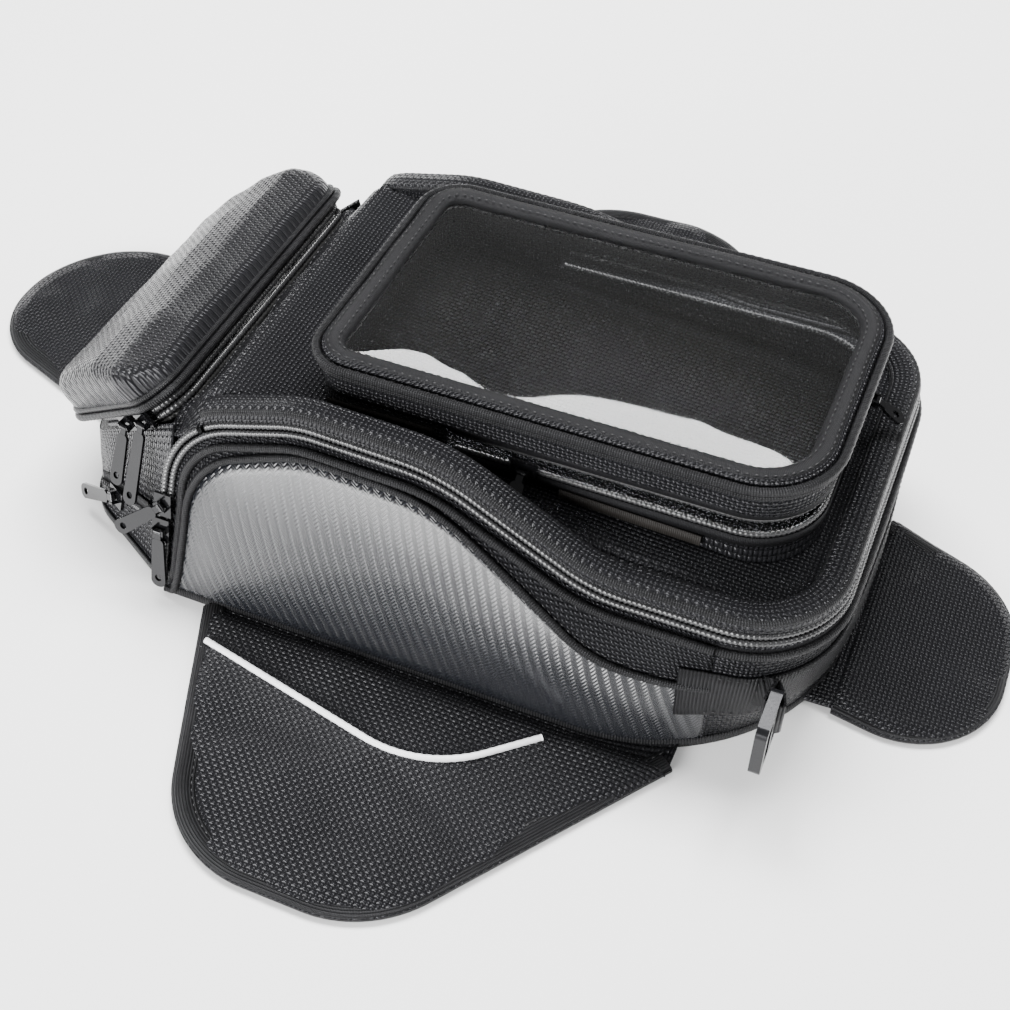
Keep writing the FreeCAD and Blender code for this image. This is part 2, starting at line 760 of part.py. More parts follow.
def wall_place(x, y, z, turn, lean=0.0):
    """Placement on a wall whose outward side is turned about Z from -Y, and leans back."""
    facing = FreeCAD.Rotation(V(0, 0, 1), turn)
    upright = FreeCAD.Rotation(V(1, 0, 0), 90 - lean)
    return FreeCAD.Placement(V(x, y, z), facing.multiply(upright))


def facing(spot, outward):
    """Placement at a spot with z along the outward direction and y as upright as it can be."""
    upright = V(0, 0, 1) - outward * outward.z
    sideways = upright.cross(outward)
    return FreeCAD.Placement(spot, FreeCAD.Rotation(sideways, upright, outward, "ZYX"))


def swung(place, angle):
    """The same placement turned about its own outward direction."""
    return place.multiply(FreeCAD.Placement(V(), FreeCAD.Rotation(V(0, 0, 1), angle)))


def on_side(x, slope_height, out):
    return LEANING.multiply(FreeCAD.Placement(V(x, slope_height, out), FreeCAD.Rotation()))


OVER_COIL = COIL + 0.4
SLIDER_Z = lower_height + 2.5
# The main zip's upper puller lies slanted towards the nose, the lower one hangs straight.
SLIDERS = {
    "main_upper": (on_side(-118.3, 50, OVER_COIL), -50),
    "main_lower": (on_side(-119.6, 36, OVER_COIL), 0),
}
for name, (place, swing) in SLIDERS.items():
    turned = swung(place, swing)
    add_slider(name + "_slider", turned, False, swing)
    add_puller(name + "_puller", turned, dim("puller_length"))

# The window pocket's two pullers rest out over the lid.
WINDOW_LIFT = 58
NEAR_SPOT = (44, -POCKET_HALF + pocket_line - OVER_COIL, SLIDER_Z)
REAR_SPOT = (POCKET_REAR - pocket_line + OVER_COIL, 30, SLIDER_Z)
WINDOW_SLIDERS = {
    "window_near": wall_place(*NEAR_SPOT, 0),
    "window_rear": wall_place(*REAR_SPOT, 90),
}
for name, place in WINDOW_SLIDERS.items():
    add_slider(name + "_slider", place, True)
    add_puller(name + "_puller", place, dim("short_puller_length"), WINDOW_LIFT)

# The nose slider's puller lies slanted towards the nose.
NOSE_SWING = -62
nose_place = facing(nose_point(0.5, NOSE_UP, NOSE_OUT + OVER_COIL), NOSE_OUTWARD)
add_slider("nose_slider", swung(nose_place, NOSE_SWING), True, NOSE_SWING)
add_puller("nose_puller", swung(nose_place, NOSE_SWING), dim("puller_length"))

# The front pocket's two sliders sit on its near leg; their pullers hang out over the nose.
FRONT_LIFT = 34
LEG_ANGLE = 36
leg_front = V(1.7, -COVER_HALF + 27.7, -tray_drop / 2)
leg_rear = V(CHORD_LENGTH - 1.7, -COVER_HALF + 1.7, -tray_drop / 2)
leg = leg_rear - leg_front
leg_outward = MOUTH.Rotation.multVec(leg.cross(V(0, 0, 1)))
leg_outward.normalize()
leg_places = {
    "front_upper": (0.80, dim("long_puller_length")),
    "front_lower": (0.60, dim("puller_length")),
}
for name, (along, length) in leg_places.items():
    spot = MOUTH.multVec(leg_front + leg * along) + leg_outward * OVER_COIL
    place = facing(spot, leg_outward)
    add_slider(name + "_slider", place, True, -LEG_ANGLE)
    add_puller(name + "_puller", place, length, FRONT_LIFT)

# ---------------------------------------------------------------- strap tab and buckle

TAB_X = 160.0
tab_outer = slab((TAB_X - 12, -HALF - 6, band_low + 8), (TAB_X + 12, -60, band_low + band_height - 2))
tab = tab_outer.common(rear_shell(-4.5)).cut(rear_shell(-dim("webbing_thickness") - 0.1))
keep("strap_tab", max(tab.Solids, key=lambda solid: solid.Volume))

# The buckle stands square across the bag, clear of the wall, with two upright slots.
BUCKLE_Y = -124.0
BUCKLE_Z = 48.0
buckle = doc.addObject("PartDesign::Body", "strap_buckle")
buckle.Label = "strap_buckle"
upright_plane = [item for item in buckle.Origin.OriginFeatures if item.Role == "YZ_Plane"][0]
outline = buckle.newObject("Sketcher::SketchObject", "buckle_outline")
outline.AttachmentSupport = (upright_plane, [""])
outline.MapMode = "FlatFace"
half_w = dim("buckle_width") / 2
half_h = dim("buckle_height") / 2


def add_loop(low_y, low_z, high_y, high_z, radius):
    corners = [(low_y, low_z), (high_y, low_z), (high_y, high_z), (low_y, high_z)]
    for edge in corner_path([(y, z, radius) for y, z in corners]):
        outline.addGeometry(edge, False)


add_loop(-half_w, -half_h, half_w, half_h, 4)
add_loop(-half_w + 4, -half_h + 4, -2, half_h - 4, 2)
add_loop(2, -half_h + 4, half_w - 4, half_h - 4, 2)
buckle_pad = buckle.newObject("PartDesign::Pad", "buckle_pad")
buckle_pad.Profile = outline
buckle_pad.setExpression("Length", "Dimensions.buckle_thickness")
buckle_pad.Midplane = True
buckle.Placement = FreeCAD.Placement(V(TAB_X + 13, BUCKLE_Y, BUCKLE_Z), FreeCAD.Rotation())
parts.append(buckle)

# ---------------------------------------------------------------- check and write

doc.recompute()
for item in doc.Objects:
    if "Invalid" in item.State or "Error" in item.State:
        raise RuntimeError(f"{item.Label} failed: {item.State}")
os.makedirs("parts", exist_ok=True)
for item in parts:
    if item.Shape.isNull() or not item.Shape.isValid():
        raise RuntimeError(f"{item.Label} has no valid shape")
    item.Shape.exportStep(f"parts/{item.Label}.step")
    box = item.Shape.optimalBoundingBox()
    low = [round(value, 1) for value in (box.XMin, box.YMin, box.ZMin)]
    high = [round(value, 1) for value in (box.XMax, box.YMax, box.ZMax)]
    print(item.Label, len(item.Shape.Solids), round(item.Shape.Volume), low, high)
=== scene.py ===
import math

import bpy
import numpy as np
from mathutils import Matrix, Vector, noise


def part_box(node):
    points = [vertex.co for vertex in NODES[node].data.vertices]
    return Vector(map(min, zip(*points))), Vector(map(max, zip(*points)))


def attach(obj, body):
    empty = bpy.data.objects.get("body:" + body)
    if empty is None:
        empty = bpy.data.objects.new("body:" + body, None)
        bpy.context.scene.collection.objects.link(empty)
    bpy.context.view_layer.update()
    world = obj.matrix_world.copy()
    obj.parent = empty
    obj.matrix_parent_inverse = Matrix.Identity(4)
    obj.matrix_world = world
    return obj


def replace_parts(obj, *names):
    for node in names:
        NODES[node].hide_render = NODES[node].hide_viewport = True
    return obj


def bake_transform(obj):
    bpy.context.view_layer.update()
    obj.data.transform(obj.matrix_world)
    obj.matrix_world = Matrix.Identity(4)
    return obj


# Motorcycle tank bag. Lengths here are millimetres until a mesh is made.
# +X runs to the rounded rear end, -X to the nose, -Y is the near side, +Z is up.

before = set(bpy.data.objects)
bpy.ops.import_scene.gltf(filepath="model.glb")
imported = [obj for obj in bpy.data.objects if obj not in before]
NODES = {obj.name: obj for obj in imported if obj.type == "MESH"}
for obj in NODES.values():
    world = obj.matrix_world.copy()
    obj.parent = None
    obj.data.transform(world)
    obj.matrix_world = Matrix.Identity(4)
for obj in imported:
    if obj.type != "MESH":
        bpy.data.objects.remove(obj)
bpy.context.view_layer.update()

# ------------ measures

HALF = 124.0
UNDER = 2.0
LEAN = math.radians(15.5)
ROW = 1.9
COIL = 1.6
PIPE = 2.0
ZIP_END = 144.0
ZIP_REAR = 75.0
ZIP_SIDE = [
    (-122, 10, 0), (-114, 91, 42), (-52, 109, 60), (14, 107, 90), (88, ZIP_REAR, 70), (ZIP_END, ZIP_REAR, 0),
]
REAR_STRAIGHT = 60.0
FOOT_FRONT = -119.5
FOOT_HEIGHT = 2.4
BASE_SEAM = 2.6
BASE_REAR = 100.0
BASE_LENGTH = 190.0
LID_FRONT = -100.0
LID_GAP = 0.8
LID_REAR = 190.0
LID_FRONT_HEIGHT = 98.0
LID_REAR_HEIGHT = 76.0
RIM_WIDTH = 11.0
POCKET_FRONT = -59.0
POCKET_REAR = 169.0
POCKET_HALF = 70.0
POCKET_WALL_TOP = 95.4
FRAME_LOW = 108.0
FRAME_TOP = 129.0
FRAME_WIDTH = 11.0
ZIP_START = 8.0
COVER_HALF = 94.0
MOUTH_LOW = (-200.0, 34.0)
MOUTH_HIGH = (-123.0, 92.0)
MOUTH_LENGTH = math.hypot(MOUTH_HIGH[0] - MOUTH_LOW[0], MOUTH_HIGH[1] - MOUTH_LOW[1])
MOUTH_ANGLE = math.atan2(MOUTH_HIGH[1] - MOUTH_LOW[1], MOUTH_HIGH[0] - MOUTH_LOW[0])
TRAY_DROP = 7.4
FLAP_ROOT = 127.0
FLAP_TOP = 3.9
WEAVE = 2.1
SIDES = ((-1, "near"), (1, "far"))
STITCH_LENGTH = 2.6
STITCH_PITCH = 3.8
STITCH_LIFT = 0.15
COIL_STEP = 0.55
TAPE_HALF = 2.6
PAD_RINGS = 9
PAD_RIM = 0.6
BAND_LOW = 0.31
BAND_HIGH = 0.71
BAND_LIFT = 1.7
LAP_LIFT = 1.9
HOOK_X = (20, 52)
HOOK_Y = (14, 60)


# ------------ paths

def rounded(corners, closed=False, step=2.0):
    """Points along straight runs joined by arcs, through (x, y, radius) corners."""
    points = []
    count = len(corners)
    for index, (x, y, radius) in enumerate(corners):
        here = np.array([x, y], float)
        if radius == 0 or (not closed and index in (0, count - 1)):
            points.append(here)
            continue
        before = np.array(corners[index - 1][:2], float) - here
        after = np.array(corners[(index + 1) % count][:2], float) - here
        before /= np.linalg.norm(before)
        after /= np.linalg.norm(after)
        half = math.acos(np.clip(before @ after, -1, 1)) / 2
        reach = radius / math.tan(half)
        middle = before + after
        middle = here + middle / np.linalg.norm(middle) * radius / math.sin(half)
        start = here + before * reach - middle
        end = here + after * reach - middle
        sweep_angle = math.pi - 2 * half
        pieces = max(3, int(radius * sweep_angle / step))
        for k in range(pieces + 1):
            t = k / pieces
            a = math.sin((1 - t) * sweep_angle) / math.sin(sweep_angle)
            b = math.sin(t * sweep_angle) / math.sin(sweep_angle)
            points.append(middle + start * a + end * b)
    return np.array(points)


def resample(points, count=None, step=None, closed=False):
    """The same path in equal steps."""
    points = np.asarray(points, float)
    if closed:
        points = np.vstack([points, points[:1]])
    lengths = np.linalg.norm(np.diff(points[:, :3], axis=0), axis=1)
    points = points[np.concatenate([[True], lengths > 1e-6])]
    along = np.concatenate([[0], np.cumsum(np.linalg.norm(np.diff(points[:, :3], axis=0), axis=1))])
    if count is None:
        count = max(2, int(round(along[-1] / step)) + (0 if closed else 1))
    where = np.linspace(0, along[-1], count, endpoint=not closed)
    return np.stack([np.interp(where, along, points[:, k]) for k in range(points.shape[1])], 1)


def resample_both(path, out, step, closed=False):
    """A path and its outward directions, in the same equal steps."""
    out = np.broadcast_to(np.asarray(out, float), path.shape)
    both = resample(np.column_stack([path, out]), step=step, closed=closed)
    return both[:, :3], both[:, 3:]


def tangents(path, closed=False):
    """The unit direction of a path at each of its points."""
    if closed:
        run = np.roll(path, -1, 0) - np.roll(path, 1, 0)
    else:
        run = np.gradient(path, axis=0)
    return run / np.maximum(np.linalg.norm(run, axis=1, keepdims=True), 1e-9)


def unit(vectors):
    return vectors / np.maximum(np.linalg.norm(vectors, axis=1, keepdims=True), 1e-9)


def offset_flat(points, distance, closed=False):
    """A path in a plane, moved to the left of its own direction."""
    run = tangents(points, closed)
    return points + np.stack([-run[:, 1], run[:, 0]], 1) * distance


def far_of(points):
    """The mirror image on the far side, run the other way."""
    return (points * np.array([1, -1, 1]))[::-1]


def ease(low, high, value):
    """A smooth step from 0 at low to 1 at high."""
    t = np.clip((np.asarray(value, float) - low) / (high - low), 0, 1)
    return t * t * (3 - 2 * t)


def ripple(points, size, seed=0.0):
    """Smooth noise between -1 and 1 at each point."""
    shift = Vector((seed, seed * 1.7, -seed))
    return np.array([noise.noise(Vector(tuple(p / size)) + shift) for p in points])


def at_level(flat, height):
    """Flat points with a height: one for all of them, or one for each."""
    return np.column_stack([flat, np.broadcast_to(height, len(flat))])


def open_run(ring, keep):
    """The stretch of a closed ring where keep is true, as one run."""
    start = int(np.argmax(keep & ~np.roll(keep, 1)))
    return np.roll(ring, -start, 0)[np.roll(keep, -start)]


# ------------ meshes

def add_object(name, data):
    obj = bpy.data.objects.new(name, data)
    bpy.context.scene.collection.objects.link(obj)
    return obj


def make_piece(name, verts, faces, uvs, material, body):
    """A smooth mesh from points in millimetres. It rides its body, unless body is None."""
    mesh = bpy.data.meshes.new(name)
    mesh.from_pydata([tuple(v) for v in np.asarray(verts) * 0.001], [], faces)
    layer = mesh.uv_layers.new(name="cloth")
    flat = [pair for face in uvs for pair in face]
    layer.data.foreach_set("uv", np.array(flat, float).ravel())
    mesh.polygons.foreach_set("use_smooth", [True] * len(mesh.polygons))
    mesh.update()
    obj = add_object(name, mesh)
    mesh.materials.append(material)
    if body is not None:
        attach(obj, body)
    return obj


def grid_piece(name, rows, material, body, closed=False, thick=0.0, flip=False, flat_uv=None,
               capped=False):
    """A skin through rows of points. Its weave runs along the rows, in millimetres."""
    rows = np.asarray(rows, float)
    count, width = rows.shape[:2]
    middle = rows[count // 2]
    following = np.roll(middle, -1, 0) if closed else middle[1:]
    steps = np.linalg.norm(following - (middle if closed else middle[:-1]), axis=1)
    u = np.concatenate([[0], np.cumsum(steps)])
    v = np.concatenate([[0], np.cumsum(np.linalg.norm(np.diff(rows, axis=0), axis=2).mean(1))])
    faces = []
    uvs = []
    spans = width if closed else width - 1
    for i in range(count - 1):
        for j in range(spans):
            k = (j + 1) % width
            face = [i * width + j, i * width + k, (i + 1) * width + k, (i + 1) * width + j]
            if flat_uv is None:
                pair = [(u[j], v[i]), (u[j + 1], v[i]), (u[j + 1], v[i + 1]), (u[j], v[i + 1])]
            else:
                pair = [flat_uv(rows[p // width, p % width]) for p in face]
            if flip:
                face = face[::-1]
                pair = pair[::-1]
            faces.append(face)
            uvs.append(pair)
    if capped:
        turn = -1 if flip else 1
        last = (count - 1) * width
        faces.append([last + j for j in range(width)][::turn])
        uvs.append([flat_uv(rows[-1, j]) for j in range(width)][::turn])
    piece = make_piece(name, rows.reshape(-1, 3), faces, uvs, material, body)
    if thick:
        shell = piece.modifiers.new("cloth_thickness", "SOLIDIFY")
        shell.thickness = thick * 0.001
        shell.offset = -1
    return piece


def sweep(name, path, out, profile, material, body, closed=False, loop=True, scale=None, twist=None):
    """A profile of (across, out) points carried along a path. out is the outward direction."""
    path = np.asarray(path, float)
    run = tangents(path, closed)
    out = np.broadcast_to(np.asarray(out, float), path.shape)
    out = unit(out - run * np.sum(out * run, axis=1, keepdims=True))
    across = np.cross(run, out)
    profile = np.asarray(profile, float)
    size = np.ones(len(path)) if scale is None else scale
    rings = []
    for index in range(len(path)):
        shape = profile * size[index]
        if twist is not None:
            shape = shape * twist(index, profile)[:, None]
        rings.append(path[index] + shape[:, :1] * across[index] + shape[:, 1:] * out[index])
    rings = np.array(rings)
    count, width = rings.shape[:2]
    centre = np.vstack([path, path[:1]]) if closed else path
    u = np.concatenate([[0], np.cumsum(np.linalg.norm(np.diff(centre, axis=0), axis=1))])
    around = np.vstack([profile, profile[:1]]) if loop else profile
    v = np.concatenate([[0], np.cumsum(np.linalg.norm(np.diff(around, axis=0), axis=1))])
    faces = []
    uvs = []
    for i in range(count if closed else count - 1):
        ahead = (i + 1) % count
        for j in range(width if loop else width - 1):
            k = (j + 1) % width
            faces.append([i * width + j, i * width + k, ahead * width + k, ahead * width + j])
            uvs.append([(u[i], v[j]), (u[i], v[j + 1]), (u[i + 1], v[j + 1]), (u[i + 1], v[j])])
    if loop and not closed:
        for start, turn in ((0, 1), (count - 1, -1)):
            cap = [start * width + j for j in range(width)][::turn]
            faces.append(cap)
            uvs.append([(0.0, 0.0)] * width)
    return make_piece(name, rings.reshape(-1, 3), faces, uvs, material, body)


def circle(radius, sides):
    turn = np.linspace(0, 2 * math.pi, sides, endpoint=False)
    return np.stack([np.cos(turn), np.sin(turn)], 1) * radius


def piping(name, path, out, radius, body, closed=False, material=None):
    """A covered cord with a twill rib winding round it."""
    path, out = resample_both(path, out, 1.0, closed)
    turn = np.linspace(0, 2 * math.pi, 12, endpoint=False)

    def rib(index, profile):
        return 1 + 0.05 * np.cos(2 * turn + 2 * math.pi * index / 4.0)

    return sweep(name, path, out, circle(radius, 12), material or PIPING, body, closed=closed,
                 twist=rib)


def coil(name, path, out, body):
    """A zip's coil row: a ribbed spiral with one rib for each tooth."""
    path, out = resample_both(path, out, COIL_STEP)
    ribs = 1 + 0.16 * np.cos(np.arange(len(path)) * 2 * math.pi / 4)
    oval = circle(COIL, 8) * np.array([1.0, 0.8])
    return sweep(name, path, out, oval, TEETH, body, scale=ribs)


def flat_bar(half, low, high):
    """The profile of a flat strip."""
    return [(-half, low), (-half, high), (half, high), (half, low)]


def zip_tape(name, path, out, body):
    sweep(name, path, out, flat_bar(TAPE_HALF, -0.2, 0.2), TAPE, body)


def stitches(name, path, out, body):
    """A row of separate stitches, each a short thread pulled down at both ends."""
    path, out = resample_both(path, out, STITCH_PITCH)
    run = tangents(path)
    out = unit(out)
    side = unit(np.cross(run, out))
    verts = []
    faces = []
    uvs = []
    for p, r, o, s in zip(path, run, out, side):
        base = len(verts)
        p = p + o * STITCH_LIFT
        verts += [p - r * STITCH_LENGTH / 2 - o * 0.2, p + r * STITCH_LENGTH / 2 - o * 0.2]
        verts += [p + s * 0.3, p + o * 0.28, p - s * 0.3, p - o * 0.25]
        for k in range(4):
            one, two = base + 2 + k, base + 2 + (k + 1) % 4
            faces += [[base, one, two], [base + 1, two, one]]
            uvs += [[(0, 0), (1, 0), (1, 1)]] * 2
    return make_piece(name, verts, faces, uvs, THREAD, body)


def pad(name, outline, low, top, material, body, wave=None, place=None):
    """A thin padded piece over a flat outline: a crowned top, a flat underside."""
    outline = resample(outline, step=4.0, closed=True)
    centre = outline.mean(0)
    sizes = np.array([1.0, 0.985, 0.95] + list(np.linspace(0.88, 0.02, PAD_RINGS)))
    rows = []
    for size in sizes[::-1]:
        flat = centre + (outline - centre) * size
        drop = PAD_RIM * ease(0.93, 1.0, np.full(len(flat), size)) * (top - low) * 0.5
        height = top - drop
        if wave is not None:
            height = height + wave(flat) * (1 - 0.7 * ease(0.9, 1.0, size))
        rows.append(np.column_stack([flat, height]))
    for size in sizes[1:]:
        flat = centre + (outline - centre) * size
        rows.append(at_level(flat, low))
    rows = np.array(rows)
    if place is not None:
        flat_rows = rows.copy()
        rows = np.array([place(row) for row in rows])
    else:
        flat_rows = rows
    width = rows.shape[1]
    faces = []
    uvs = []
    for i in range(len(rows) - 1):
        for j in range(width):
            k = (j + 1) % width
            face = [i * width + j, (i + 1) * width + j, (i + 1) * width + k, i * width + k]
            faces.append(face)
            uvs.append([tuple(flat_rows[p // width, p % width][:2]) for p in face])
    for start, turn in ((0, 1), (len(rows) - 1, -1)):
        cap = [start * width + j for j in range(width)][::turn]
        faces.append(cap)
        uvs.append([tuple(flat_rows[start, j][:2]) for j in range(width)][::turn])
    return make_piece(name, rows.reshape(-1, 3), faces, uvs, material, body)


# ------------ materials

FABRIC_SPECULAR = 0.32
SOFT_TINT = (0.5, 0.5, 0.52, 1)
WEAR = 0.35


class Look:
    """A material, and the node steps that its surface is made of."""

    def __init__(self, name, color, rough, specular=0.5, metallic=0.0):
        self.material = bpy.data.materials.new(name)
        self.material.use_nodes = True
        self.nodes = self.material.node_tree.nodes
        self.links = self.material.node_tree.links
        self.place = self.nodes.new("ShaderNodeTexCoord")
        self.surface = self.nodes["Principled BSDF"]
        self.paint("Base Color", (*color, 1))
        self.paint("Roughness", rough)
        self.paint("Specular IOR Level", specular)
        self.paint("Metallic", metallic)
        if specular < 0.5:
            self.paint("Specular Tint", SOFT_TINT)

    def feed(self, socket, value):
        """Link a socket to another node's output, or give it a plain value."""
        if isinstance(value, bpy.types.NodeSocket):
            self.links.new(value, socket)
        else:
            socket.default_value = value

    def paint(self, part, value):
        self.feed(self.surface.inputs[part], value)

    def calc(self, operation, first, second=None):
        node = self.nodes.new("ShaderNodeMath")
        node.operation = operation
        for socket, value in zip(node.inputs, (first, second)):
            if value is not None:
                self.feed(socket, value)
        return node.outputs[0]

    def cloth(self):
        """The two coordinates that run along the cloth, in millimetres."""
        split = self.nodes.new("ShaderNodeSeparateXYZ")
        self.feed(split.inputs[0], self.place.outputs["UV"])
        return split.outputs["X"], split.outputs["Y"]

    def ribs(self, part, pitch):
        """Rounded ribs across a coordinate, one for each pitch."""
        return self.calc("ABSOLUTE", self.calc("SINE", self.calc("MULTIPLY", part, math.pi / pitch)))

    def patches(self, scale, detail=None):
        """Soft noise over the piece."""
        node = self.nodes.new("ShaderNodeTexNoise")
        self.feed(node.inputs["Scale"], scale)
        if detail is not None:
            self.feed(node.inputs["Detail"], detail)
        self.feed(node.inputs["Vector"], self.place.outputs["Object"])
        return node.outputs["Fac"]

    def tint(self, factor, low, high):
        """Run the base colour from low to high."""
        node = self.nodes.new("ShaderNodeMix")
        node.data_type = "RGBA"
        self.feed(node.inputs["Factor"], factor)
        self.feed(node.inputs["A"], (*low, 1))
        self.feed(node.inputs["B"], (*high, 1))
        self.paint("Base Color", node.outputs["Result"])

    def bump(self, height, distance):
        node = self.nodes.new("ShaderNodeBump")
        self.feed(node.inputs["Distance"], distance)
        self.feed(node.inputs["Strength"], 1.0)
        self.feed(node.inputs["Height"], height)
        self.paint("Normal", node.outputs["Normal"])


def woven(name, low, high, pitch, rough, depth):
    """A plain basket weave: each cell is one float, its thread running one way or the other."""
    look = Look(name, low, rough, FABRIC_SPECULAR)
    waves = [look.ribs(part, pitch) for part in look.cloth()]
    cells = look.nodes.new("ShaderNodeTexChecker")
    look.feed(cells.inputs["Scale"], 1 / pitch)
    look.feed(cells.inputs["Vector"], look.place.outputs["UV"])
    across = look.nodes.new("ShaderNodeMix")
    look.feed(across.inputs["Factor"], cells.outputs["Fac"])
    look.feed(across.inputs["A"], waves[0])
    look.feed(across.inputs["B"], waves[1])
    ends = look.calc("MULTIPLY", waves[0], waves[1])
    height = look.calc("MULTIPLY", look.calc("ADD", across.outputs["Result"], ends), 0.5)
    worn = look.calc("MULTIPLY", look.patches(28, 4), WEAR)
    # The base colour follows the thread height: painted shade in the dips between threads and painted sheen
    # on the thread tops, mixed with a random worn tone.
    look.tint(look.calc("ADD", look.calc("MULTIPLY", height, 1 - WEAR), worn), low, high)
    look.paint("Roughness", look.calc("ADD", look.calc("MULTIPLY", height, -0.18), rough + 0.09))
    look.bump(height, depth)
    return look.material


def ribbed(name, low, high, pitch, rough, depth):
    """Tape or cord cover: ribs across the length, with fine threads along it."""
    look = Look(name, low, rough, FABRIC_SPECULAR)
    along, across = look.cloth()
    threads = look.calc("MULTIPLY", look.ribs(across, 0.6), 0.35)
    height = look.calc("ADD", look.ribs(along, pitch), threads)
    # The base colour follows the rib height times a random tone: painted shade between the ribs and painted
    # sheen on their tops.
    look.tint(look.calc("MULTIPLY", height, look.patches(40)), low, high)
    look.bump(height, depth)
    return look.material


def chevron(name, low, high, column, pitch, rough, depth):
    """A glossy pressed film: columns of slanted ribs that lean one way and then the other."""
    look = Look(name, low, rough)
    look.paint("Coat Weight", 0.5)
    look.paint("Coat Roughness", 0.24)
    across, along = look.cloth()
    part = look.calc("FRACT", look.calc("DIVIDE", across, column))
    zigzag = look.calc("ABSOLUTE", look.calc("SUBTRACT", part, 0.5))
    phase = look.calc("ADD", along, look.calc("MULTIPLY", zigzag, column * 0.9))
    wave = look.calc("SINE", look.calc("MULTIPLY", phase, 2 * math.pi / pitch))
    edge = look.calc("SINE", look.calc("MULTIPLY", part, 2 * math.pi))
    groove = look.calc("POWER", look.calc("ABSOLUTE", edge), 0.3)
    ribs = look.calc("ADD", look.calc("MULTIPLY", wave, 0.5), 0.5)
    height = look.calc("MULTIPLY", ribs, groove)
    # The base colour follows the rib height: painted shade in the troughs and grooves, and painted sheen on
    # the rib tops.
    look.tint(height, low, high)
    look.paint("Roughness", look.calc("ADD", look.calc("MULTIPLY", look.patches(30), 0.16), rough - 0.08))
    look.bump(height, depth)
    return look.material


def moulded(name, low, high, rough, scale, depth, metallic=0.0, coat=0.0, specular=0.5):
    """Plastic, rubber or painted metal: a fine grain, and a tone that varies."""
    look = Look(name, low, rough, specular, metallic)
    look.paint("Coat Weight", coat)
    look.paint("Coat Roughness", 0.08)
    patches = look.patches(scale / 12)
    look.tint(patches, low, high)
    look.paint("Roughness", look.calc("ADD", look.calc("MULTIPLY", patches, 0.2), rough - 0.1))
    look.bump(look.patches(scale, 6), depth)
    return look.material


# Each woven look runs from a low colour, painted shade in the dips between threads, to a high colour, painted
# sheen on the thread tops.
NYLON = woven("ballistic_nylon", (0.0012, 0.0012, 0.0015), (0.016, 0.016, 0.018), WEAVE, 0.25, 0.0009)
# The carbon film runs from a low colour, painted shade in its troughs and grooves, to a high colour, painted
# sheen on its rib tops.
CARBON = chevron("carbon_look", (0.002, 0.0022, 0.003), (0.013, 0.0145, 0.019), 5.2, 1.7, 0.24, 0.0003)
LINING = woven("lining", (0.004, 0.004, 0.004), (0.03, 0.03, 0.029), 1.9, 0.36, 0.0006)
TAPE = woven("zip_tape", (0.0012, 0.0012, 0.0014), (0.008, 0.008, 0.0088), 0.7, 0.5, 0.00015)
# Each ribbed look runs from a low colour, painted shade between the ribs, to a high colour, painted sheen on
# the rib tops.
WEBBING = ribbed("webbing", (0.0015, 0.0015, 0.0017), (0.011, 0.011, 0.012), 1.6, 0.45, 0.0005)
BINDING = ribbed("binding_tape", (0.0015, 0.0015, 0.0017), (0.016, 0.016, 0.017), 1.3, 0.4, 0.0004)
PIPING = ribbed("piping_twill", (0.0015, 0.0015, 0.0017), (0.015, 0.015, 0.016), 1.1, 0.36, 0.0003)
GROSGRAIN = ribbed("grosgrain", (0.008, 0.0072, 0.0065), (0.034, 0.031, 0.028), 0.9, 0.5, 0.0002)
TEETH = moulded("coil_teeth", (0.010, 0.010, 0.0105), (0.05, 0.05, 0.052), 0.16, 900, 0.00004)
THREAD = moulded("thread", (0.010, 0.010, 0.011), (0.036, 0.036, 0.038), 0.45, 1500, 0.00004)
METAL = moulded("black_metal", (0.002, 0.002, 0.0024), (0.006, 0.006, 0.0065), 0.13, 700, 0.00003, coat=0.25,
                specular=0.4)
PLASTIC = moulded("buckle_plastic", (0.002, 0.002, 0.0024), (0.008, 0.008, 0.009), 0.2, 900, 0.00004,
                  specular=0.3)
MAGNET = moulded("magnet_steel", (0.25, 0.25, 0.26), (0.42, 0.42, 0.43), 0.4, 500, 0.00003, metallic=1.0)
RUBBER = moulded("underside_grip", (0.006, 0.006, 0.006), (0.02, 0.02, 0.02), 0.75, 700, 0.0003)
BOARD = moulded("base_board", (0.01, 0.01, 0.0105), (0.03, 0.03, 0.031), 0.6, 500, 0.0001)
REFLECTIVE = moulded("reflective_cord", (0.80, 0.81, 0.83), (0.95, 0.95, 0.96), 0.3, 900, 0.00008)
HOOK = moulded("hook_tape", (0.012, 0.012, 0.0125), (0.045, 0.045, 0.047), 0.85, 2400, 0.0009)

clear = Look("clear_window", (0.93, 0.94, 0.95), 0.05)
clear.paint("Transmission Weight", 1.0)
clear.paint("IOR", 1.4)
haze = clear.patches(9, 1)
clear.paint("Roughness", clear.calc("MULTIPLY", haze, 0.08))
clear.bump(haze, 0.0004)
CLEAR = clear.material

# ------------ main zip

side_flat = resample(rounded(ZIP_SIDE), step=2.0)


def on_side(flat, out=0.0):
    """Points (x, up the slope) on the near side's leaning plane, moved outwards."""
    x, slope = flat[:, 0], flat[:, 1]
    y = -HALF + slope * math.sin(LEAN) - out * math.cos(LEAN)
    z = UNDER + slope * math.cos(LEAN) + out * math.sin(LEAN)
    return np.column_stack([x, y, z])


NEAR_OUT = np.array([0, -math.cos(LEAN), math.sin(LEAN)])
FAR_SIDE_OUT = NEAR_OUT * np.array([1, -1, 1])


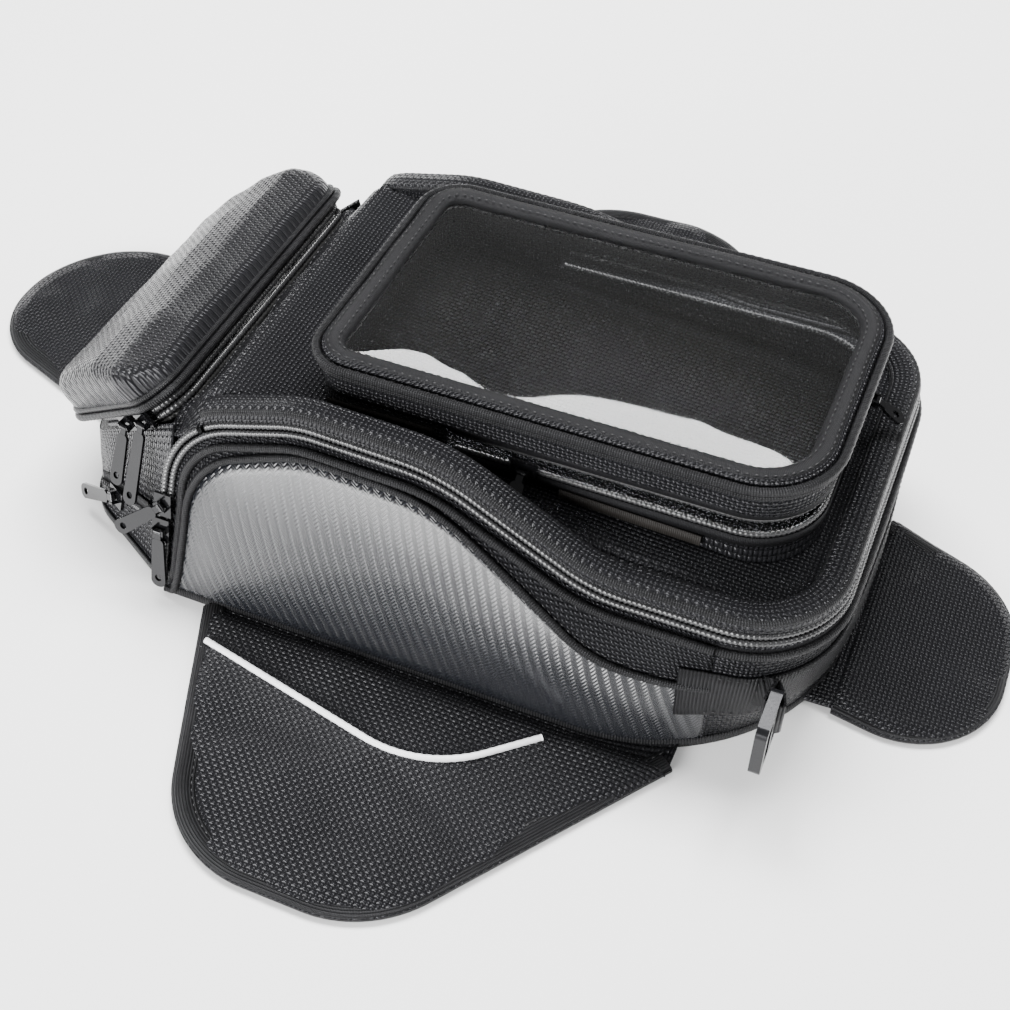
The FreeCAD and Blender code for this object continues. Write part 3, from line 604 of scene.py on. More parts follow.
def zip_line(distance, out=0.0):
    """The zip's line from the near foot round the rear to the far foot, and its outward side."""
    near = on_side(offset_flat(side_flat, distance), out)
    slope = ZIP_REAR + distance
    height = UNDER + slope * math.cos(LEAN) + out * math.sin(LEAN)
    side_y = HALF - slope * math.sin(LEAN) + out * math.cos(LEAN)
    corner = side_y - REAR_STRAIGHT
    turn = np.linspace(-math.pi / 2, 0, 26)[1:]
    arc = np.column_stack([ZIP_END + np.cos(turn) * corner, -REAR_STRAIGHT + np.sin(turn) * corner])
    arc = at_level(arc, height)
    back = np.column_stack([np.full(11, ZIP_END + corner), np.linspace(-50, 50, 11), np.full(11, height)])
    path = np.vstack([near, arc, back, far_of(arc), far_of(near)])
    path = resample(path, step=2.0)
    turned = np.clip((path[:, 0] - ZIP_END) / 40, 0, 1)
    side = np.where(path[:, 1] < 0, -1.0, 1.0)
    round_corner = np.clip((np.abs(path[:, 1]) - REAR_STRAIGHT) / 44, 0, 1)
    y_part = np.where(path[:, 0] > ZIP_END, round_corner, 1.0) * side
    outward = np.column_stack([turned, y_part * math.cos(LEAN), np.full(len(path), math.sin(LEAN))])
    return path, unit(outward)


def behind(path, outward, limit):
    keep = path[:, 0] > limit
    return path[keep], outward[keep]


lower_line, lower_out = zip_line(-ROW)
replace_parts(coil("main_zip_lower_coil", lower_line, lower_out, "bag"), "main_zip_lower_row")
upper_line, upper_out = zip_line(ROW)
lid_line, lid_out = behind(upper_line, upper_out, LID_FRONT + LID_GAP)
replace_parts(coil("main_zip_upper_coil", lid_line, lid_out, "lid"), "main_zip_upper_row")
front_part = upper_line[upper_line[:, 0] < LID_FRONT - LID_GAP]
for side, name in SIDES:
    leg = front_part[front_part[:, 1] * side > 0]
    out = NEAR_OUT * np.array([1, -side, 1])
    end = coil("main_zip_" + name + "_end", leg, out, "bag")
    if side < 0:
        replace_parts(end, "main_zip_front_ends")

tape_line, tape_out = zip_line(-ROW - 4.0, -0.6)
zip_tape("main_zip_lower_tape", tape_line, tape_out, "bag")
tape_line, tape_out = zip_line(ROW + 3.6, -0.6)
tape_line, tape_out = behind(tape_line, tape_out, LID_FRONT + LID_GAP)
zip_tape("main_zip_upper_tape", tape_line, tape_out, "lid")

for side, name in SIDES:
    path = on_side(offset_flat(side_flat, -8.2), 1.7)
    path = path[path[:, 2] > 6]
    out = NEAR_OUT
    if side > 0:
        path = far_of(path)
        out = FAR_SIDE_OUT
    cord_piece = piping(name + "_side_cord", path, out, PIPE, "bag")
    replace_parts(cord_piece, name + "_side_piping")

# ------------ side panels and rear wall

def base_half_width(x):
    """Half the base's width at x, along the straight side and round the rear corner."""
    inside = np.clip(x - (BASE_LENGTH - BASE_REAR), 0, BASE_REAR)
    return HALF - BASE_REAR + np.sqrt(np.maximum(BASE_REAR ** 2 - inside ** 2, 0))


REAR_ROWS = 15
SIDE_COUNT = 120
top_flat = offset_flat(side_flat, -ROW - COIL - 0.4)
top_edge = on_side(resample(top_flat, count=SIDE_COUNT))
share = np.linspace(0, 1, SIDE_COUNT)
foot_x = FOOT_FRONT + (ZIP_END - FOOT_FRONT) * share
foot = at_level(np.column_stack([foot_x, -base_half_width(foot_x) + 0.3]), FOOT_HEIGHT)
end_fade = np.minimum(1, np.sin(math.pi * share) * 1.8)


def side_row(v):
    """A line along the near side: v is 0 at its foot and 1 at the zip."""
    v = np.broadcast_to(v, share.shape)
    row = foot * (1 - v)[:, None] + top_edge * v[:, None]
    swell = 6.5 * np.sin(math.pi * np.minimum(1, v * 1.05))
    swell = swell + 1.1 * ripple(row, 46.0, 3.0) * np.sin(math.pi * v)
    return row + NEAR_OUT * (swell * end_fade)[:, None]


# The glossy panel's top edge follows the arch, then falls away from the zip to the rear.
panel_height = np.linalg.norm(top_edge - foot, axis=1)
fan = 1.7 - 0.7 * ease(0.1, 0.4, share)
panel_drop = (8.5 + 22 * ease(-20, 140, top_edge[:, 0])) * fan
panel_top = np.clip(1 - panel_drop / panel_height, 0.03, 0.95)


def carbon_flat(point):
    return (float(point[0] + 0.35 * point[2]), float(point[2]) / math.cos(LEAN))


panel_rows = np.array([side_row(panel_top * q) for q in np.linspace(0, 1, 13)])
upper_rows = np.array([side_row(panel_top + (1 - panel_top) * q) for q in np.linspace(0, 1, 6)])
panel_cord = side_row(panel_top) + NEAR_OUT * 0.9
panel_seam = side_row(np.minimum(panel_top + 3.4 / panel_height, 1)) + NEAR_OUT * 0.3
for side, name in SIDES:
    mirror = np.array([1, -side, 1])
    out = NEAR_OUT * mirror
    skin = grid_piece(name + "_side_skin", panel_rows * mirror, CARBON, "bag", thick=2,
                      flip=side > 0, flat_uv=carbon_flat)
    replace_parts(skin, name + "_side_panel")
    grid_piece(name + "_side_upper_skin", upper_rows * mirror, NYLON, "bag", thick=2,
               flip=side > 0, flat_uv=carbon_flat)
    piping(name + "_panel_cord", panel_cord * mirror, out, 1.8, "bag")
    stitches(name + "_panel_stitches", panel_seam * mirror, out, "bag")

turn = np.linspace(0, math.pi / 2, 30)
corner_x, corner_y, corner_radius = BASE_LENGTH - BASE_REAR, HALF - BASE_REAR, BASE_REAR - 1
turn = turn[turn > math.asin((ZIP_END - corner_x) / BASE_REAR)]
base_arc = np.column_stack([
    corner_x + corner_radius * np.sin(turn), -corner_y - corner_radius * np.cos(turn),
])
base_arc = at_level(base_arc, FOOT_HEIGHT)
first = np.array([[ZIP_END, -base_half_width(ZIP_END) + 0.3, FOOT_HEIGHT]])
base_line = np.vstack([first, base_arc, far_of(np.vstack([first, base_arc]))])
base_line = resample(base_line, count=SIDE_COUNT)
rear_line = zip_line(-ROW - COIL - 0.4)[0]
rear_line = resample(rear_line[rear_line[:, 0] > ZIP_END - 1.2], count=SIDE_COUNT)
rear_line[0] = top_edge[-1]
rear_line[-1] = top_edge[-1] * np.array([1, -1, 1])
outward = unit(at_level(np.column_stack([np.clip(rear_line[:, 0] - 120, 0, 70), rear_line[:, 1]]), 0.0))
rear_fade = np.minimum(ease(0, 0.07, share), ease(0, 0.07, 1 - share))


def rear_point_row(v, out):
    """A line round the rear wall: v is 0 at its foot and 1 at the zip."""
    row = base_line * (1 - v) + rear_line * v
    swell = (2.6 + 1.2 * ripple(row, 40.0, 8.0)) * math.sin(math.pi * v) * rear_fade + out
    return row + outward * swell[:, None]


rear_rows = [rear_point_row(v, 0.0) for v in np.linspace(0, 1, REAR_ROWS)]
rear_skin = grid_piece("rear_skin", rear_rows, NYLON, "bag", thick=2)
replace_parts(rear_skin, "rear_wall")

band_rows = []
for v in np.linspace(BAND_LOW, BAND_HIGH, 6):
    lap = side_row(v)[-6:-1] + NEAR_OUT * LAP_LIFT
    band_rows.append(np.vstack([lap, rear_point_row(v, BAND_LIFT), far_of(lap)]))
band = grid_piece("rear_band", band_rows, WEBBING, "bag", thick=1.6)
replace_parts(band, "rear_webbing_band")
for number, v in enumerate((0.335, 0.685)):
    line = rear_point_row(v, BAND_LIFT)
    stitches(f"rear_band_stitches_{number}", line, outward, "bag")

rear_cord = rear_point_row(0.935, 1.3)
piping("rear_zip_cord", rear_cord, outward, PIPE, "bag")

# A bound seam runs round the base where the walls meet the underside.
base_edge = rounded([(-118, -124, 30), (-190, -84, 36), (-190, 84, 36), (-118, 124, 30)], step=3.0)
rear_edge = rounded([(90, -124, 0), (190, -124, 99.9), (190, 124, 99.9), (90, 124, 0)])
base_edge = np.vstack([base_edge[::-1], rear_edge])
base_edge = resample(base_edge, step=3.0, closed=True)
base_path = at_level(base_edge * 0.9965, BASE_SEAM)
base_out = unit(at_level(base_edge, 0.0))
sweep("base_binding", base_path, base_out, [(-2.4, -0.4), (-2.4, 0.7), (2.2, 0.9), (2.4, -0.4)],
      BINDING, "bag", closed=True)

# ------------ lid

def lid_height(x):
    """The height of the lid's top, which slopes down to the rear."""
    slope = (LID_REAR_HEIGHT - LID_FRONT_HEIGHT) / (LID_REAR - LID_FRONT)
    return LID_FRONT_HEIGHT + slope * (np.asarray(x) - LID_FRONT) + 5 * ease(-30, -96, x)


def inward(path, distance):
    """A U-shaped path moved level, towards the middle of the lid."""
    run = tangents(path)
    side = unit(np.column_stack([-run[:, 1], run[:, 0], np.zeros(len(path))]))
    centre = np.array([50.0, 0, 0])
    facing = np.sum(side * (centre - path) * np.array([1, 1, 0]), axis=1)
    return path + side * np.where(facing < 0, -1, 1)[:, None] * distance


rim_line = zip_line(ROW + COIL + 0.8)[0]
rim_line = rim_line[rim_line[:, 0] > LID_FRONT + 0.4]
COLUMNS = 260
rim_line = resample(rim_line, count=COLUMNS)
up = np.array([0, 0, 1.0])
rim_steps = [
    (0.0, 0.0), (-0.4, 2.4), (0.6, 4.4), (2.6, 5.3), (6.0, 5.4), (RIM_WIDTH - 1.2, 4.6), (RIM_WIDTH, 3.0),
]
rim_rows = [inward(rim_line, d) + up * h for d, h in rim_steps]
inner_edge = inward(rim_line, RIM_WIDTH + 0.8)
inner_edge[:, 2] = np.minimum(lid_height(inner_edge[:, 0]) + 0.4, inner_edge[:, 2] + 1.0)
rim_rows.append(inner_edge)
grid_piece("lid_rim", rim_rows, NYLON, "lid", thick=1.6, flip=True)
seam_line = inward(rim_line, RIM_WIDTH - 2.6) + up * 5.3
stitches("lid_rim_stitches", seam_line, up, "lid")
piping("lid_rim_cord", inward(rim_line, 0.4) + up * 4.4, up, 1.9, "lid")
piping("lid_rim_inner_cord", inward(rim_line, RIM_WIDTH) + up * 3.6, up, 1.5, "lid")

front_y = np.linspace(inner_edge[-1, 1], inner_edge[0, 1], 62)[1:-1]
front_edge = np.column_stack([np.full(60, LID_FRONT + 0.6), front_y, np.full(60, lid_height(LID_FRONT))])
plate_outer = np.vstack([inner_edge, front_edge])
plate_outer[:, 2] = np.where(plate_outer[:, 0] < LID_FRONT + 1, lid_height(LID_FRONT), plate_outer[:, 2])


def pocket_outline(inset):
    """The window pocket's outline seen from above, moved inwards."""
    front = max(18 - inset, 3)
    rear = 34 - inset
    low_x, high_x, half = POCKET_FRONT + inset, POCKET_REAR - inset, POCKET_HALF - inset
    corners = [(low_x, -half, front), (high_x, -half, rear), (high_x, half, rear), (low_x, half, front)]
    return resample(rounded(corners, closed=True), count=240, closed=True)


def meet_outline(points, outline):
    """Where a ray from the outline's middle through each point crosses the outline."""
    centre = outline.mean(0)
    angle = np.arctan2(outline[:, 1] - centre[1], outline[:, 0] - centre[0])
    reach = np.linalg.norm(outline - centre, axis=1)
    order = np.argsort(angle)
    angle, reach = angle[order], reach[order]
    angle = np.concatenate([angle - 2 * math.pi, angle, angle + 2 * math.pi])
    reach = np.tile(reach, 3)
    seek = np.arctan2(points[:, 1] - centre[1], points[:, 0] - centre[0])
    length = np.interp(seek, angle, reach)
    return centre + np.column_stack([np.cos(seek), np.sin(seek)]) * length[:, None]


plate_inner = meet_outline(plate_outer[:, :2], pocket_outline(0.8))
plate_rows = []
for q in np.linspace(0, 1, 12):
    flat = plate_outer[:, :2] * (1 - q) + plate_inner * q
    level = lid_height(flat[:, 0]) + 0.3
    height = plate_outer[:, 2] * (1 - ease(0, 0.25, q)) + level * ease(0, 0.25, q)
    points = np.column_stack([flat, height])
    points[:, 2] += 0.9 * ripple(points, 34.0, 1.0) * math.sin(math.pi * q)
    plate_rows.append(points)


def level_flat(point):
    return (float(point[0]), float(point[1]))


lid_plate = grid_piece("lid_top", plate_rows, NYLON, "lid", closed=True, thick=2.0,
                       flip=True, flat_uv=level_flat)
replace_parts(lid_plate, "main_lid")
floor_outline = pocket_outline(0.4)
floor_rows = []
for size in (1.0, 0.9, 0.7, 0.5, 0.3, 0.02):
    centre = floor_outline.mean(0)
    flat = centre + (floor_outline - centre) * size
    points = np.column_stack([flat, lid_height(flat[:, 0]) - 1.0])
    points[:, 2] += 0.8 * ripple(points, 40.0, 5.0)
    floor_rows.append(points)
grid_piece("pocket_floor", floor_rows, NYLON, "lid", closed=True, thick=1.0,
           flip=True, flat_uv=level_flat, capped=True)

# ------------ window pocket

def ring_at(inset, height):
    """The pocket's outline at a height, or at a height that depends on x."""
    flat = pocket_outline(inset)
    return at_level(flat, height(flat[:, 0]) if callable(height) else height)


def pocket_outwards(ring):
    """The level direction away from the pocket at each point of a ring."""
    centre = ring.mean(0)
    run = tangents(ring, True)
    side = unit(np.column_stack([run[:, 1], -run[:, 0], np.zeros(len(ring))]))
    facing = np.sum(side * (ring - centre), axis=1)
    return side * np.where(facing < 0, -1, 1)[:, None]


wall_rows = []
wall_foot = ring_at(0, lid_height)
wall_head = ring_at(0.6, POCKET_WALL_TOP)
wall_side = pocket_outwards(wall_head)
wall_rows.append(wall_foot + wall_side * 3.4 - up * 0.2)
for v in np.linspace(0.04, 1, 6):
    ring = wall_foot * (1 - v) + wall_head * v
    bulge = -0.8 * math.sin(math.pi * v) + 0.4 * ripple(ring, 22.0, 2.0)[:, None]
    wall_rows.append(ring + wall_side * bulge)
pocket_wall = grid_piece("pocket_wall_skin", wall_rows, NYLON, "lid", closed=True,
                         thick=2.0)
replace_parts(pocket_wall, "window_pocket_wall")
stitches("pocket_foot_stitches", ring_at(-2.0, lambda x: lid_height(x) + 0.5), up, "lid")


def part_behind(ring, limit):
    """The stretch of a closed ring that lies behind a limit in x."""
    return open_run(ring, ring[:, 0] > limit)


gusset = [ring_at(0.6, height) for height in (POCKET_WALL_TOP - 0.5, 99.0, 103.5, 107.4)]
gusset_keep = []
for number, ring in enumerate(gusset):
    front = np.roll(ring, int(len(ring) / 2), 0)
    run = open_run(front, front[:, 0] < ZIP_START - 0.2)
    gusset_keep.append(run + pocket_outwards(run) * (0.8 if number in (1, 2) else 0.0))
grid_piece("pocket_gusset", gusset_keep, NYLON, "lid", thick=1.6)

LOWER_ZIP = POCKET_WALL_TOP + COIL
UPPER_ZIP = FRAME_LOW - COIL
for label, node, height, limit, body in (
    ("window_zip_lower_coil", "window_zip_lower_row", LOWER_ZIP, ZIP_START, "lid"),
    ("window_zip_upper_coil", "window_zip_upper_row", UPPER_ZIP, ZIP_START + 0.6, "window_lid"),
):
    line = part_behind(ring_at(1.8, height), limit)
    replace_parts(coil(label, line, pocket_outwards(line), body), node)
lower_tape = part_behind(ring_at(0.2, LOWER_ZIP - 3.4), ZIP_START)
zip_tape("window_lower_tape", lower_tape, pocket_outwards(lower_tape), "lid")
upper_tape = part_behind(ring_at(0.2, UPPER_ZIP + 3.8), ZIP_START + 0.6)
zip_tape("window_upper_tape", upper_tape, pocket_outwards(upper_tape), "window_lid")

frame_steps = [
    (2.6, 108.2), (0.6, 108.2), (-0.2, 111), (-0.7, 116), (-0.4, 121), (0.2, 124.5), (0.8, 127.6),
    (2.4, 129.0), (5.5, 129.6), (8.6, 129.0), (10.4, 127.6), (11.0, 125.6), (11.2, 124.6),
]
frame_rows = []
for inset, height in frame_steps:
    ring = ring_at(inset, height)
    sag = 0.5 * ripple(ring, 28.0, 6.0)
    frame_rows.append(ring + pocket_outwards(ring) * sag[:, None] * 0.8 + up * (sag * 0.6)[:, None])
frame_skin = grid_piece("window_frame_skin", frame_rows[:8], NYLON, "window_lid",
                        closed=True, thick=1.6)
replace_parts(frame_skin, "window_frame")
grid_piece("window_rim_band", frame_rows[7:], TAPE, "window_lid", closed=True, thick=1.4)
rim_ring = ring_at(-PIPE, FRAME_TOP - 3)
rim_cord = piping("window_rim_cord", rim_ring, pocket_outwards(rim_ring), PIPE, "window_lid", closed=True)
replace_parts(rim_cord, "window_rim_piping")
low_ring = ring_at(-PIPE + 0.8, FRAME_TOP - 6.6)
piping("window_rim_cord_lower", low_ring, pocket_outwards(low_ring), 1.6, "window_lid", closed=True)
for number, inset in enumerate((3.6, 8.4)):
    ring = ring_at(inset, 129.7)
    stitches(f"window_rim_stitches_{number}", np.vstack([ring, ring[:1]]), up, "window_lid")

pane_outline = pocket_outline(FRAME_WIDTH - 1.6)
pane_centre = pane_outline.mean(0)
pane_rows = []
for size in np.concatenate([[1.0, 0.985, 0.95], np.linspace(0.9, 0.02, 14)]):
    flat = pane_centre + (pane_outline - pane_centre) * size
    crown = 125.4 + 2.6 * (1 - size ** 4)
    points = at_level(flat, crown)
    points[:, 2] += (1.1 * ripple(points, 62.0, 4.0) + 0.35 * ripple(points, 24.0, 9.0)) * (1 - size ** 6)
    pane_rows.append(points)
pane = grid_piece("window_sheet", pane_rows, CLEAR, "window_lid", closed=True, thick=0.5,
                  flip=True, flat_uv=level_flat, capped=True)
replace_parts(pane, "window_pane")

for side, name in SIDES:
    out = np.array([0.0, side, 0.0])
    front_run = np.column_stack([np.linspace(-50, 2, 14), np.full(14, side * 70.6), np.full(14, 105.5)])
    rear_x = np.linspace(60, 124, 16)
    rear_run = np.column_stack([rear_x, np.full(16, side * 70.4), (lid_height(rear_x) + 93.0) / 2 + 1])
    strip = sweep(name + "_front_strip", front_run, out, flat_bar(1.6, 0, 0.8),
                  GROSGRAIN, "lid")
    sweep(name + "_rear_strip", rear_run, out, flat_bar(2.8, 0, 0.8),
          GROSGRAIN, "lid")
    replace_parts(strip, name + "_pocket_strips")

# ------------ front pocket, nose and saddle

def on_mouth(points):
    """Points in the front pocket's slanted frame, put in place."""
    points = np.asarray(points, float)
    x, y, z = points[:, 0], points[:, 1], points[:, 2]
    c, s = math.cos(MOUTH_ANGLE), math.sin(MOUTH_ANGLE)
    return np.column_stack([MOUTH_LOW[0] + x * c - z * s, y, MOUTH_LOW[1] + x * s + z * c])


MOUTH_OUT = np.array([-math.sin(MOUTH_ANGLE), 0, math.cos(MOUTH_ANGLE)])


def mouth_outline(inset):
    """The front pocket's outline in its own slanted plane, moved inwards."""
    corners = [
        (inset, -COVER_HALF + 26 + inset, 26),
        (MOUTH_LENGTH - inset, -COVER_HALF + inset, 18),
        (MOUTH_LENGTH - inset, COVER_HALF - inset, 18),
        (inset, COVER_HALF - 26 - inset, 26),
    ]
    return resample(rounded(corners, closed=True), count=220, closed=True)


def cover_height(x):
    """The cover's ridge line: low at the nose, highest past the middle, steep at the saddle."""
    return np.interp(x, [0, 6, 20, 40, 60, 76, 90, 97], [17, 20, 24.5, 27.5, 27.5, 24, 16.5, 13])


def cover_fold(points):
    """The height of the cover's soft folds."""
    return 1.5 * ripple(points, 34.0, 7.0) + 0.3 * ripple(points, 16.0, 2.0)


cover_outline = mouth_outline(0.4)
cover_centre = cover_outline.mean(0) + np.array([4.0, 0.0])
cover_rows = []
for size in np.concatenate([[1.0, 1.0, 1.0, 0.995, 0.985, 0.965, 0.94, 0.9], np.linspace(0.84, 0.02, 12)]):
    flat = cover_centre + (cover_outline - cover_centre) * size
    cover_rows.append(np.column_stack([flat, cover_height(flat[:, 0])]))
lift_share = [0.0, 0.3, 0.6, 0.78, 0.88, 0.95, 0.985, 1.0] + [1.0] * 12
for index, share_up in enumerate(lift_share):
    row = cover_rows[index]
    row[:, 2] = 0.6 + (row[:, 2] - 0.6) * share_up
    fold = cover_fold(row)
    row[:, 2] += fold * min(1.0, share_up)
cover_rows = [on_mouth(row) for row in cover_rows]


def mouth_flat(point):
    return (float(point[1]), float(math.hypot(point[0] + 200, point[2] - 34)))


cover = grid_piece("front_cover_skin", cover_rows, NYLON, "front_cover", closed=True,
                   thick=2.0, flip=True, flat_uv=mouth_flat, capped=True)
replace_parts(cover, "front_pocket_cover")
for number, (inset, level, radius) in enumerate(((-PIPE, 3.0, PIPE), (-1.2, 6.6, 1.5))):
    ring = mouth_outline(inset)
    ring = on_mouth(at_level(ring, level))
    cord_piece = piping(f"front_cover_cord_{number}", ring, MOUTH_OUT, radius, "front_cover", closed=True)
    if number == 0:
        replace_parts(cord_piece, "front_pocket_piping")


def mouth_row(depth):
    """The front zip's line, round the saddle end of the pocket's mouth."""
    flat = np.roll(mouth_outline(1.7), 30, 0)
    return on_mouth(at_level(open_run(flat, flat[:, 0] > 29), depth))


for label, node, depth, body in (
    ("front_zip_upper_coil", "front_zip_upper_row", -COIL - 0.1, "front_cover"),
    ("front_zip_lower_coil", "front_zip_lower_row", -TRAY_DROP + COIL, "bag"),
):
    line = mouth_row(depth)
    centre = line.mean(0)
    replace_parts(coil(label, line, unit(line - centre), body), node)

patch_rows = []
for x in np.linspace(*HOOK_X, 8):
    y = np.linspace(*HOOK_Y, 12)
    level = cover_height(np.full(12, x)) + 1.4
    points = np.column_stack([np.full(12, x), y, level])
    points[:, 2] += cover_fold(points)
    patch_rows.append(on_mouth(points))
patch = grid_piece("hook_patch_skin", patch_rows, HOOK, "front_cover", thick=1.0, flip=True)
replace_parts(patch, "hook_patch")

tray = pad("front_tray_pad", mouth_outline(1.0), -TRAY_DROP - 3, -TRAY_DROP, LINING, "bag",
           place=on_mouth)
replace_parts(tray, "front_pocket_tray")

nose_low = rounded([(-121.5, -121.4, 0), (-189.6, -84, 36), (-189.6, 84, 36), (-121.5, 121.4, 0)], step=3.0)
nose_low = resample(at_level(nose_low, BASE_SEAM), count=150)
nose_high = rounded([(MOUTH_LENGTH - 1, -COVER_HALF + 0.6, 0), (0.6, -COVER_HALF + 26.6, 26),
                     (0.6, COVER_HALF - 26.6, 26), (MOUTH_LENGTH - 1, COVER_HALF - 0.6, 0)], step=3.0)
nose_high = on_mouth(at_level(nose_high, -TRAY_DROP - 0.6))
nose_high = resample(nose_high, count=150)
nose_side = unit(np.column_stack([nose_low[:, 0] + 110, nose_low[:, 1], np.zeros(150)]))
nose_rows = []
for v in np.linspace(0, 1, 14):
    row = nose_low * (1 - v) + nose_high * v
    fold = 2.2 * ripple(row, 26.0, 3.0) + 0.9 * ripple(row, 11.0, 6.0)
    nose_rows.append(row + nose_side * (fold * math.sin(math.pi * v))[:, None])
nose_skin = grid_piece("nose_skin", nose_rows, NYLON, "bag", thick=1.8, flip=True)
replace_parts(nose_skin, "nose_wall")

low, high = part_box("nose_zip")
low, high = np.array(low) * 1000, np.array(high) * 1000
nose_zip_line = np.array([(high[0] - 1, low[1] + 1, high[2] - 1.6), (low[0] + 1, high[1] - 1, low[2] + 1.6)])
nose_zip_out = np.array([-0.45, -0.86, 0.25])
nose_zip = coil("nose_zip_coil", resample(nose_zip_line, step=1.0), nose_zip_out, "bag")
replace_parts(nose_zip, "nose_zip")
for number, shift in enumerate((-4.2, 4.2)):
    side_line = resample(nose_zip_line, step=1.0) + up * shift - nose_zip_out * 1.4
    zip_tape(f"nose_zip_tape_{number}", side_line, nose_zip_out, "bag")

saddle_rows = []
across_y = np.linspace(-1, 1, 70)
SADDLE_X = np.linspace(-122, -101.6, 9)
SADDLE_HEIGHTS = [84, 83.5, 84.5, 87.5, 91, 94.5, 98, 101, 102.4]
for v, x, z in zip(np.linspace(0, 1, 9), SADDLE_X, SADDLE_HEIGHTS):
    y = across_y * (94 + 5 * v)
    fall = 12 * ease(0.84, 1.0, np.abs(across_y)) * (0.35 + 0.65 * v)
    points = np.column_stack([np.full(70, x), y, z - fall])
    folds = 1.5 * np.sin(y * 0.11 + 2 * np.sin(y * 0.031)) * math.sin(math.pi * v)
    points[:, 2] += folds + 1.2 * ripple(points, 15.0, 2.5) * math.sin(math.pi * min(1, v + 0.15))
    saddle_rows.append(points)
saddle = grid_piece("saddle_skin", saddle_rows, NYLON, "bag", thick=1.8, flip=True,
                    flat_uv=level_flat)
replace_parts(saddle, "saddle_panel")

# ------------ flaps

SIDE_FLAP = [(-97, -FLAP_ROOT, 0), (-46, -249, 58), (50, -249, 58), (138, -FLAP_ROOT, 0)]
NOSE_FLAP = [(-193, 88, 0), (-313, 112, 60), (-313, 0, 52), (-193, -44, 0)]
REAR_FLAP = [(193, -70, 0), (263, -82, 45), (263, 28, 50), (193, 56, 0)]
FLAPS = {
    "near": (SIDE_FLAP, "near_wing", 9.5),
    "far": ([(x, -y, r) for x, y, r in reversed(SIDE_FLAP)], "far_wing", 9.5),
    "nose": (NOSE_FLAP, "nose_wing", 8.5),
    "rear": (REAR_FLAP, "rear_wing", 8.5),
}


def flap_wave(flat):
    """How far a flap's padding rises and falls over its outline."""
    points = at_level(flat, 0.0)
    soft = 2.2 * ripple(points, 42.0, 4.0) + 0.8 * ripple(points, 16.0, 1.0) + 0.7
    return np.maximum(soft, 0.1)


for name, (corners, body, tape_width) in FLAPS.items():
    edge = rounded(corners, step=3.0)
    flap = pad(name + "_flap_pad", edge, 0.3, FLAP_TOP - 0.1, NYLON, body,
               wave=flap_wave)
    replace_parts(flap, name + "_flap")
    edge = resample(edge, step=2.0)
    inner = offset_flat(edge, 1.0)
    path = at_level(inner, 0.0)
    side = offset_flat(edge, 2.0) - edge
    side = unit(at_level(side, 0.0))
    shape = [
        (1.0, 3.9), (3.0, 4.15), (tape_width, 4.0), (tape_width, 3.3), (tape_width, 0.4),
        (tape_width, 0.05), (0.4, 0.05), (-0.7, 0.7), (-0.9, 2.0), (-0.3, 3.4),
    ]
    rings = np.array([[path[i] + side[i] * d + up * h for d, h in shape] for i in range(len(path))])
    binding = grid_piece(name + "_binding_tape", np.concatenate([rings, rings[:, :1]], axis=1), BINDING, body)
    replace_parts(binding, name + "_flap_binding")
    line = at_level(offset_flat(edge, tape_width - 0.6), 4.1)
    stitches(name + "_flap_stitches", line, up, body)

# Sewn strips join each flap to the base, across its fold line.
near_x = np.linspace(-95, 136, 60)
nose_y = np.linspace(-42, 86, 34)
rear_y = np.linspace(-68, 54, 32)
near_edge = np.column_stack([near_x, 2 - base_half_width(near_x), np.full(60, 2.6)])
near_root = np.column_stack([near_x, np.full(60, -131.5), np.full(60, 3.5)])
far_mirror = np.array([1, -1, 1])
nose_edge = np.column_stack([np.full(34, -183), nose_y, np.full(34, 2.6)])
nose_root = np.column_stack([np.full(34, -197.5), nose_y, np.full(34, 3.5)])
rear_edge = np.column_stack([np.full(32, 176), rear_y, np.full(32, 2.6)])
rear_root = np.column_stack([np.full(32, 197.5), rear_y, np.full(32, 3.5)])
BRIDGES = {
    "near": (near_edge, near_root, (0, -0.1235, 0.002), (0, -0.1275, 0.002), True),
    "far": (near_edge * far_mirror, near_root * far_mirror, (0, 0.1235, 0.002), (0, 0.1275, 0.002), False),
    "nose": (nose_edge, nose_root, (-0.1895, 0, 0.002), (-0.1935, 0, 0.002), False),
    "rear": (rear_edge, rear_root, (0.1895, 0, 0.002), (0.1935, 0, 0.002), True),
}
for name, (edge, root, start, end, flip) in BRIDGES.items():
    strip_rows = [edge * (1 - q) + root * q for q in np.linspace(0, 1, 12)]
    strip = grid_piece(name + "_fold_strip", strip_rows, NYLON, None, thick=1.2, flip=flip)
    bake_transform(strip)

REFLECTOR = [(-84, -146, 0), (38, -172, 60), (80, -135, 0)]
for side, name in SIDES:
    flat = resample(rounded(REFLECTOR), step=1.5)
    path = at_level(flat, 5.3)
    if side > 0:
        path = far_of(path)
    reflector = piping(name + "_reflective_cord", path, up, 1.5, name + "_wing",
                       material=REFLECTIVE)
    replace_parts(reflector, name + "_reflective_piping")
    for number, shift in enumerate((-3.4, 3.4)):
        line = at_level(offset_flat(path[:, :2], shift), FLAP_TOP)
        stitches(f"{name}_reflective_stitches_{number}", line, up, name + "_wing")

# ------------ strap tab

